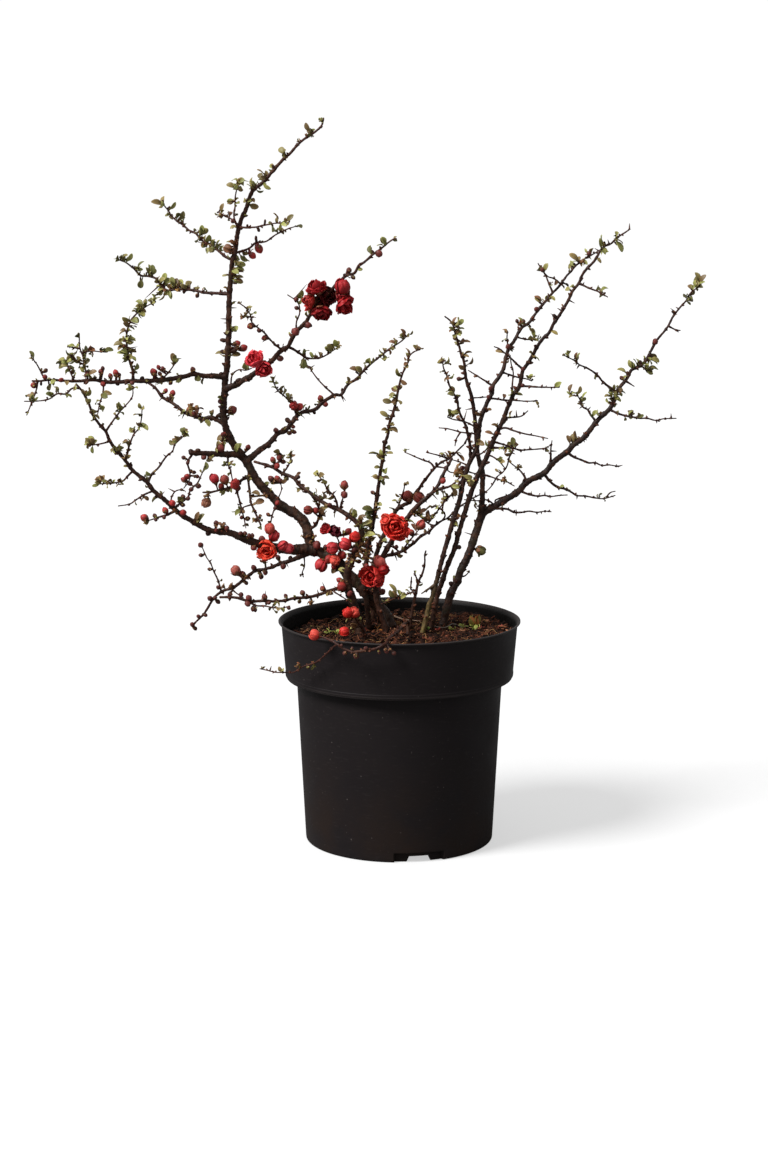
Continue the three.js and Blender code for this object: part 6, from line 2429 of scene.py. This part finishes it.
@dataclass
class Compost:
    """The compost in the pot, with the bark chips, fibres and seedlings on it."""

    surface_z: float = 199.0
    crown: float = 5.0
    tilt: float = 3.5
    rim: float = 109.0
    depth: float = 16.0
    chips: int = 4200
    fibres: int = 760
    seed: int = 907
    earth: tuple[str, ...] = ("#0a0504", "#170c08", "#311a10", "#4f2c1c")
    # Each kind of chip and of fibre: its colour, and its share of them.
    chip_hues: tuple[tuple[str, float], ...] = (
        ("#150b08", 5.0),
        ("#2e1a13", 6.0),
        ("#4a271a", 6.0),
        ("#653726", 5.0),
        ("#7c4c33", 3.4),
        ("#96654a", 1.6),
        ("#bc9068", 0.5),
        ("#221814", 3.5),
    )
    fibre_hues: tuple[tuple[str, float], ...] = (
        ("#7c4c34", 0.3),
        ("#5b3426", 0.32),
        ("#a07a50", 0.15),
        ("#2e1a14", 0.23),
    )
    # Weeds and fallen scales: where they lie, their colour and their length.
    weeds: tuple[tuple[str, str, float], ...] = (
        ("72,206 69,205", "#8d7f34", 11.5),
        ("73,205", "#b06a30", 13.0),
        ("10,203 12,202 27,203", "#6f8a3a", 5.0),
        ("-41,206 -67,199 -60,198 70,202 74,202 50,202 60,202", "#a7ac52", 6.0),
        ("22,201 -22,204 -15,204", "#b5702f", 4.5),
        ("79,203 95,202 -30,202 36,201", "#a8473a", 4.0),
    )
    # Straws: their routes, colours and radii.
    straws: tuple[tuple[str, str, float], ...] = (
        ("-5,213 4,211.5 12,210 20,208.5", "#d8b092", 0.8),
        ("30,204 42,205 52,204 60,203", "#8b8378", 0.45),
        ("-84,202 -76,204 -66,203", "#a98a54", 0.4),
    )

    def rough(self, x: Array, y: Array) -> Array:
        """Gives the surface's height.

        It is a low crown, tilted, with shallow waves, and with clods on it that are three
        fields of waves, each about half as wide as the last.

        Args:
            x: how far right of the pot's axis.
            y: how far behind it.

        Returns:
            The height at each place.
        """
        crown = self.crown * (1.0 - (np.hypot(x, y) / self.rim) ** 2)
        tilt = self.tilt * (x + 0.4 * y) / self.rim
        flat = np.stack([x, y, np.zeros_like(x)], axis=-1)
        clods = 1.5 * waves(flat, 22.0, 5) + 1.4 * waves(flat, 9.0, 6) + 0.9 * waves(flat, 4.2, 7)
        smooth = self.surface_z + crown + tilt + np.sin(x / 13.0) * np.cos(y / 17.0)
        return smooth + clods - 0.8

    def painted_rim_shade(self, x: Array, y: Array) -> Array:
        """Gives how light the compost is: darker to the left with painted shade from the rim,
        and lighter towards the front.
        """
        return 0.5 + 0.56 * ramp(x, -95.0, 55.0) + 0.36 * ramp(-y / self.rim)

    def bed(self, finish: bpy.types.Material) -> None:
        """Makes the compost's body: a closed disc of clods.

        Args:
            finish: the compost.
        """
        turn = circle(300)
        top = np.linspace(self.rim, 1.5, 84)
        x, y = top[:, None] * np.cos(turn), top[:, None] * np.sin(turn)
        crest = np.stack([x, y, self.rough(x, y)], axis=-1)
        # The wall's rows below the crest: their radii, and how far down they are.
        far = np.array([3.0, 0.985 * self.rim, self.rim, self.rim])[:, None]
        drop = self.depth * np.array([1.0, 1.0, 0.9, 0.05])[:, None]
        lows = [far * np.cos(turn), far * np.sin(turn), crest[0, :, 2] - drop]
        rings = np.concatenate([np.stack(lows, axis=-1), crest])
        shade = 0.5 + 0.35 * waves(rings, 12.0, 8) + 0.3 * waves(rings, 3.0, 9)
        tint = columnwise(shade, np.linspace(0.0, 1.0, len(self.earth)), hues(self.earth))
        # Darker to the left with painted shade from the rim, lighter towards the front.
        tint = tint * self.painted_rim_shade(rings[..., 0], rings[..., 1])[..., None]
        surface = Surface()
        surface.tubes(rings[None], tint)
        settle(surface.made("compost_bed", finish), "compost", "compost")

    def scattered(self, count: int, draw: np.random.Generator, edge: float) -> tuple[Array, Array]:
        """Scatters places evenly over the surface.

        Args:
            count: how many.
            draw: random numbers.
            edge: how far from the rim they stay.

        Returns:
            Their x and y.
        """
        far = (self.rim - edge) * np.sqrt(draw.random(count))
        turn = draw.uniform(0.0, FULL_TURN, count)
        return far * np.cos(turn), far * np.sin(turn)

    def bark_chips(self, finish: bpy.types.Material) -> None:
        """Strews the bark chips: short flat slivers that lie tumbled on the clods.

        Args:
            finish: the compost.
        """
        draw = np.random.default_rng(self.seed)
        count = self.chips
        x, y = self.scattered(count, draw, 3.5)
        long = draw.gamma(2.2, 1.15, count) + 0.8
        wide = long * draw.uniform(0.22, 0.6, count)
        thick = wide * draw.uniform(0.25, 0.6, count)
        middle = np.stack([x, y, self.rough(x, y) + thick * 0.5 + 0.25], axis=-1)
        level = draw.normal(size=(2, count))
        way = unit(np.stack([*level, draw.normal(size=count) * 0.32], axis=-1))
        flat = unit(UP + 0.35 * draw.normal(size=(count, 3)))
        share = np.array([-0.5, -0.2, 0.22, 0.5])[:, None]
        path = middle[:, None] + (way * long[:, None])[:, None] * share
        profile = np.array([0.5, 1.0, 0.9, 0.35]) * draw.uniform(0.7, 1.2, (count, 4)) / 2
        across, deep = wide[:, None] * profile, thick[:, None] * profile
        rings = swept(path, across, deep, 5, flat[:, None])
        hue = self.picked(self.chip_hues, count, draw)
        # The chips too are darker to the left with painted shade from the rim.
        hue = hue * draw.uniform(0.45, 1.45, (count, 1)) * self.painted_rim_shade(x, y)[:, None]
        surface = Surface()
        surface.tubes(rings, hue[:, None, None])
        settle(surface.made("bark_chips", finish), "compost")

    def picked(
        self, kinds: tuple[tuple[str, float], ...], count: int, draw: np.random.Generator
    ) -> Array:
        """Draws linear colours from kinds, each as often as its share says.

        Args:
            kinds: colours and their shares.
            count: how many to draw.
            draw: random numbers.

        Returns:
            The colours.
        """
        colours, shares = zip(*kinds)
        weights = np.array(shares)
        return hues(colours)[draw.choice(len(kinds), count, p=weights / weights.sum())]

    def peat_fibres(self, finish: bpy.types.Material) -> None:
        """Strews the fibres: thin, bent and mostly straw-coloured.

        Args:
            finish: the compost.
        """
        draw = np.random.default_rng(self.seed + 1)
        count = self.fibres
        x, y = self.scattered(count, draw, 12.0)
        long = draw.uniform(5.0, 25.0, count)
        turn = draw.uniform(0.0, FULL_TURN, (count, 1))
        bend = draw.normal(size=(count, 1)) * 1.4
        share = np.linspace(-0.5, 0.5, 7)
        heading = turn + bend * share
        limit = np.minimum(long, 2.0 * (self.rim - 2.0 - np.hypot(x, y)))[:, None]
        across, deep = (
            start[:, None] + step - step.mean(1, keepdims=True)
            for start, step in (
                (x, np.cumsum(np.cos(heading), axis=1) / 7.0 * limit),
                (y, np.cumsum(np.sin(heading), axis=1) / 7.0 * limit),
            )
        )
        lift = 0.7 + draw.uniform(0.0, 1.6, (count, 1)) * (1.0 - 4.0 * (share - 0.05) ** 2)
        path = np.stack([across, deep, self.rough(across, deep) + lift], axis=-1)
        width = draw.uniform(0.16, 0.36, (count, 1)) * np.array([0.4, 0.9, 1, 1, 1, 0.8, 0.3])
        hue = self.picked(self.fibre_hues, count, draw)
        surface = Surface()
        surface.tubes(swept(path, width, width, 4, UP), hue[:, None, None])
        settle(surface.made("peat_fibres", finish), "compost")

    def lying(self, drawn: Array, above: float) -> Array:
        """Puts points of the elevation on the compost where the viewer sees them.

        With reach as (z of the surface - z of the eye) / (drawn z - z of the eye), the depth is
        (reach - 1) * VIEWER; three rounds settle the surface's own height.

        Args:
            drawn: the points.
            above: how far above the surface they lie.

        Returns:
            Points in space.
        """
        height = np.full(len(drawn), self.surface_z + 3.0)
        inner = self.rim - 6.0
        for _ in range(3):
            depth = ((height - EYE[1]) / (drawn[:, 1] - EYE[1]) - 1.0) * VIEWER
            place = carried(drawn, np.clip(depth, -inner, inner))
            height = self.rough(place[:, 0], place[:, 1])
        place[:, 2] = height + above
        return place

    def seedlings(self, finish: bpy.types.Material) -> None:
        """Adds what has come up or fallen on the compost: tiny weeds, straws and bud scales.

        Args:
            finish: the leaf.
        """
        draw = np.random.default_rng(self.seed + 2)
        surface = Surface()
        for text, hue, size in self.weeds:
            foot = np.repeat(self.lying(spots(text), 0.2), 4, axis=0)
            count = len(foot)
            turn = GOLDEN_TURN * np.arange(count) + draw.uniform(0.0, 6.0)
            steep = draw.uniform(0.35, 1.3, count) * (size / 5.0) ** 1.5
            way = unit(np.stack([np.cos(turn), np.sin(turn), steep], axis=1))
            tip = foot + way * (size * draw.uniform(0.6, 1.15, (count, 1)))
            shape = Leaves(slimness=0.3 if size < 10.0 else 0.17)
            rings = shape.shapes(foot, tip, np.full(count, size), draw)
            surface.tubes(rings, linear(hue) * draw.uniform(0.7, 1.15, (count, 1, 1, 1)))
        for text, hue, radius in self.straws:
            path = smooth_path(self.lying(spots(text), 2.0), 2.0)
            width = radius * np.linspace(1.0, 0.6, len(path))
            surface.tubes(swept(path, width, width, 6, UP)[None], linear(hue))
        settle(surface.made("seedlings", finish), "leaves")

    def made(self, finishes: Finishes) -> None:
        """Makes the compost and all that lies on it.

        Args:
            finishes: the materials.
        """
        self.bed(finishes.compost)
        self.bark_chips(finishes.compost)
        self.peat_fibres(finishes.compost)
        self.seedlings(finishes.leaf)


# ---- studio ------------------------------------------------------------------------------


@dataclass
class Studio:
    """The camera, the soft light and the pale floor."""

    lens: float = 74.75
    pitch: float = 10.27  # degrees below level
    floor_radius: float = 9.0
    floor_rings: tuple[float, ...] = (1.0, 0.4, 0.1, 0.02)
    sky: float = 0.42  # how strongly the white surround lights the object
    seen: float = 0.96  # how bright the eye sees it, which is as bright as the lit floor
    exposure: float = 0.1
    key: float = 3.6
    key_spread: float = 22.0  # degrees
    key_from: tuple[float, float, float] = (-1.6, -1.0, 1.9)

    def camera(self) -> None:
        """Stands the camera where the elevation's viewer stands."""
        lens = bpy.data.cameras.new("camera")
        lens.lens, lens.sensor_width = self.lens, 36.0
        camera = placed("camera", lens)
        camera.location = (pot_axis() + np.array([EYE[0], -VIEWER, EYE[1]])) * MM
        camera.rotation_euler = (math.radians(90.0 - self.pitch), 0.0, 0.0)
        bpy.context.scene.camera = camera

    def light(self) -> None:
        """Lights the scene from the front's upper left with one broad, even light."""
        light = bpy.data.lights.new("key_light", "SUN")
        light.energy, light.angle = self.key, math.radians(self.key_spread)
        aim = Vector(self.key_from).to_track_quat("Z", "Y")
        placed("key_light", light).rotation_euler = aim.to_euler()

    def surround(self) -> None:
        """Makes the world white to the eye, and softer as a light."""
        recipe = Recipe(bpy.data.worlds.new("surround"))
        seen = recipe.add("LightPath", output="Is Camera Ray")
        range_to = {"Value": seen, "To Min": self.sky, "To Max": self.seen}
        strength = recipe.add("MapRange", range_to)
        shader = recipe.add("Background", {"Color": WHITE, "Strength": strength})
        scene = bpy.context.scene
        scene.world = recipe.finished(shader, "OutputWorld")
        scene.view_settings.view_transform = "Standard"
        scene.view_settings.exposure = self.exposure

    def floor(self) -> None:
        """Lays the floor: one wide disc of paper under the pot."""
        columns = 96
        turn = circle(columns)
        far = np.array(self.floor_rings)[:, None] * self.floor_radius
        disc = [far * np.cos(turn), far * np.sin(turn), 0.0 * far * turn]
        centre = pot_axis() * MM * np.array([1.0, 1.0, 0.0])
        points = (np.stack(disc, axis=-1) + centre).reshape(-1, 3)
        number = np.arange(len(points)).reshape(-1, columns)
        after = np.roll(number, -1, axis=1)
        corners = (number[:-1], after[:-1], after[1:], number[1:])
        faces = np.stack([corner.ravel() for corner in corners], axis=1)
        mesh = bpy.data.meshes.new("floor")
        mesh.from_pydata(points.tolist(), [], [*faces.tolist(), number[-1].tolist()])
        mesh.materials.append(StudioPaper().material())
        placed("floor", mesh)

    def made(self) -> None:
        """Sets the whole studio up."""
        self.camera()
        self.light()
        self.surround()
        self.floor()


# ---- the whole shrub ---------------------------------------------------------------------


def main() -> None:
    """Builds the studio, the pot, the compost, the wood, the leaves and the flowers."""
    logging.basicConfig(level=logging.INFO, format="%(name)s %(message)s")
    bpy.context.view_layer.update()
    Studio().made()
    finishes = Finishes()
    NurseryPot().made(finishes.plastic)
    Compost().made(finishes)
    limbs: dict[str, Limb] = {}
    for growth in planned(PLAN_TEXT):
        limbs[growth.name] = Limb(growth, limbs)
    for order, limb in enumerate(limbs.values()):
        Wood(limb, 40 + 7 * order).grown(finishes.bark)
    Leaves().grow(limbs, finishes.leaf)
    SmallBuds().grow(limbs, finishes.scale)
    flower_clusters(limbs, finishes)
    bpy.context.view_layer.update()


if __name__ == "__main__":
    main()
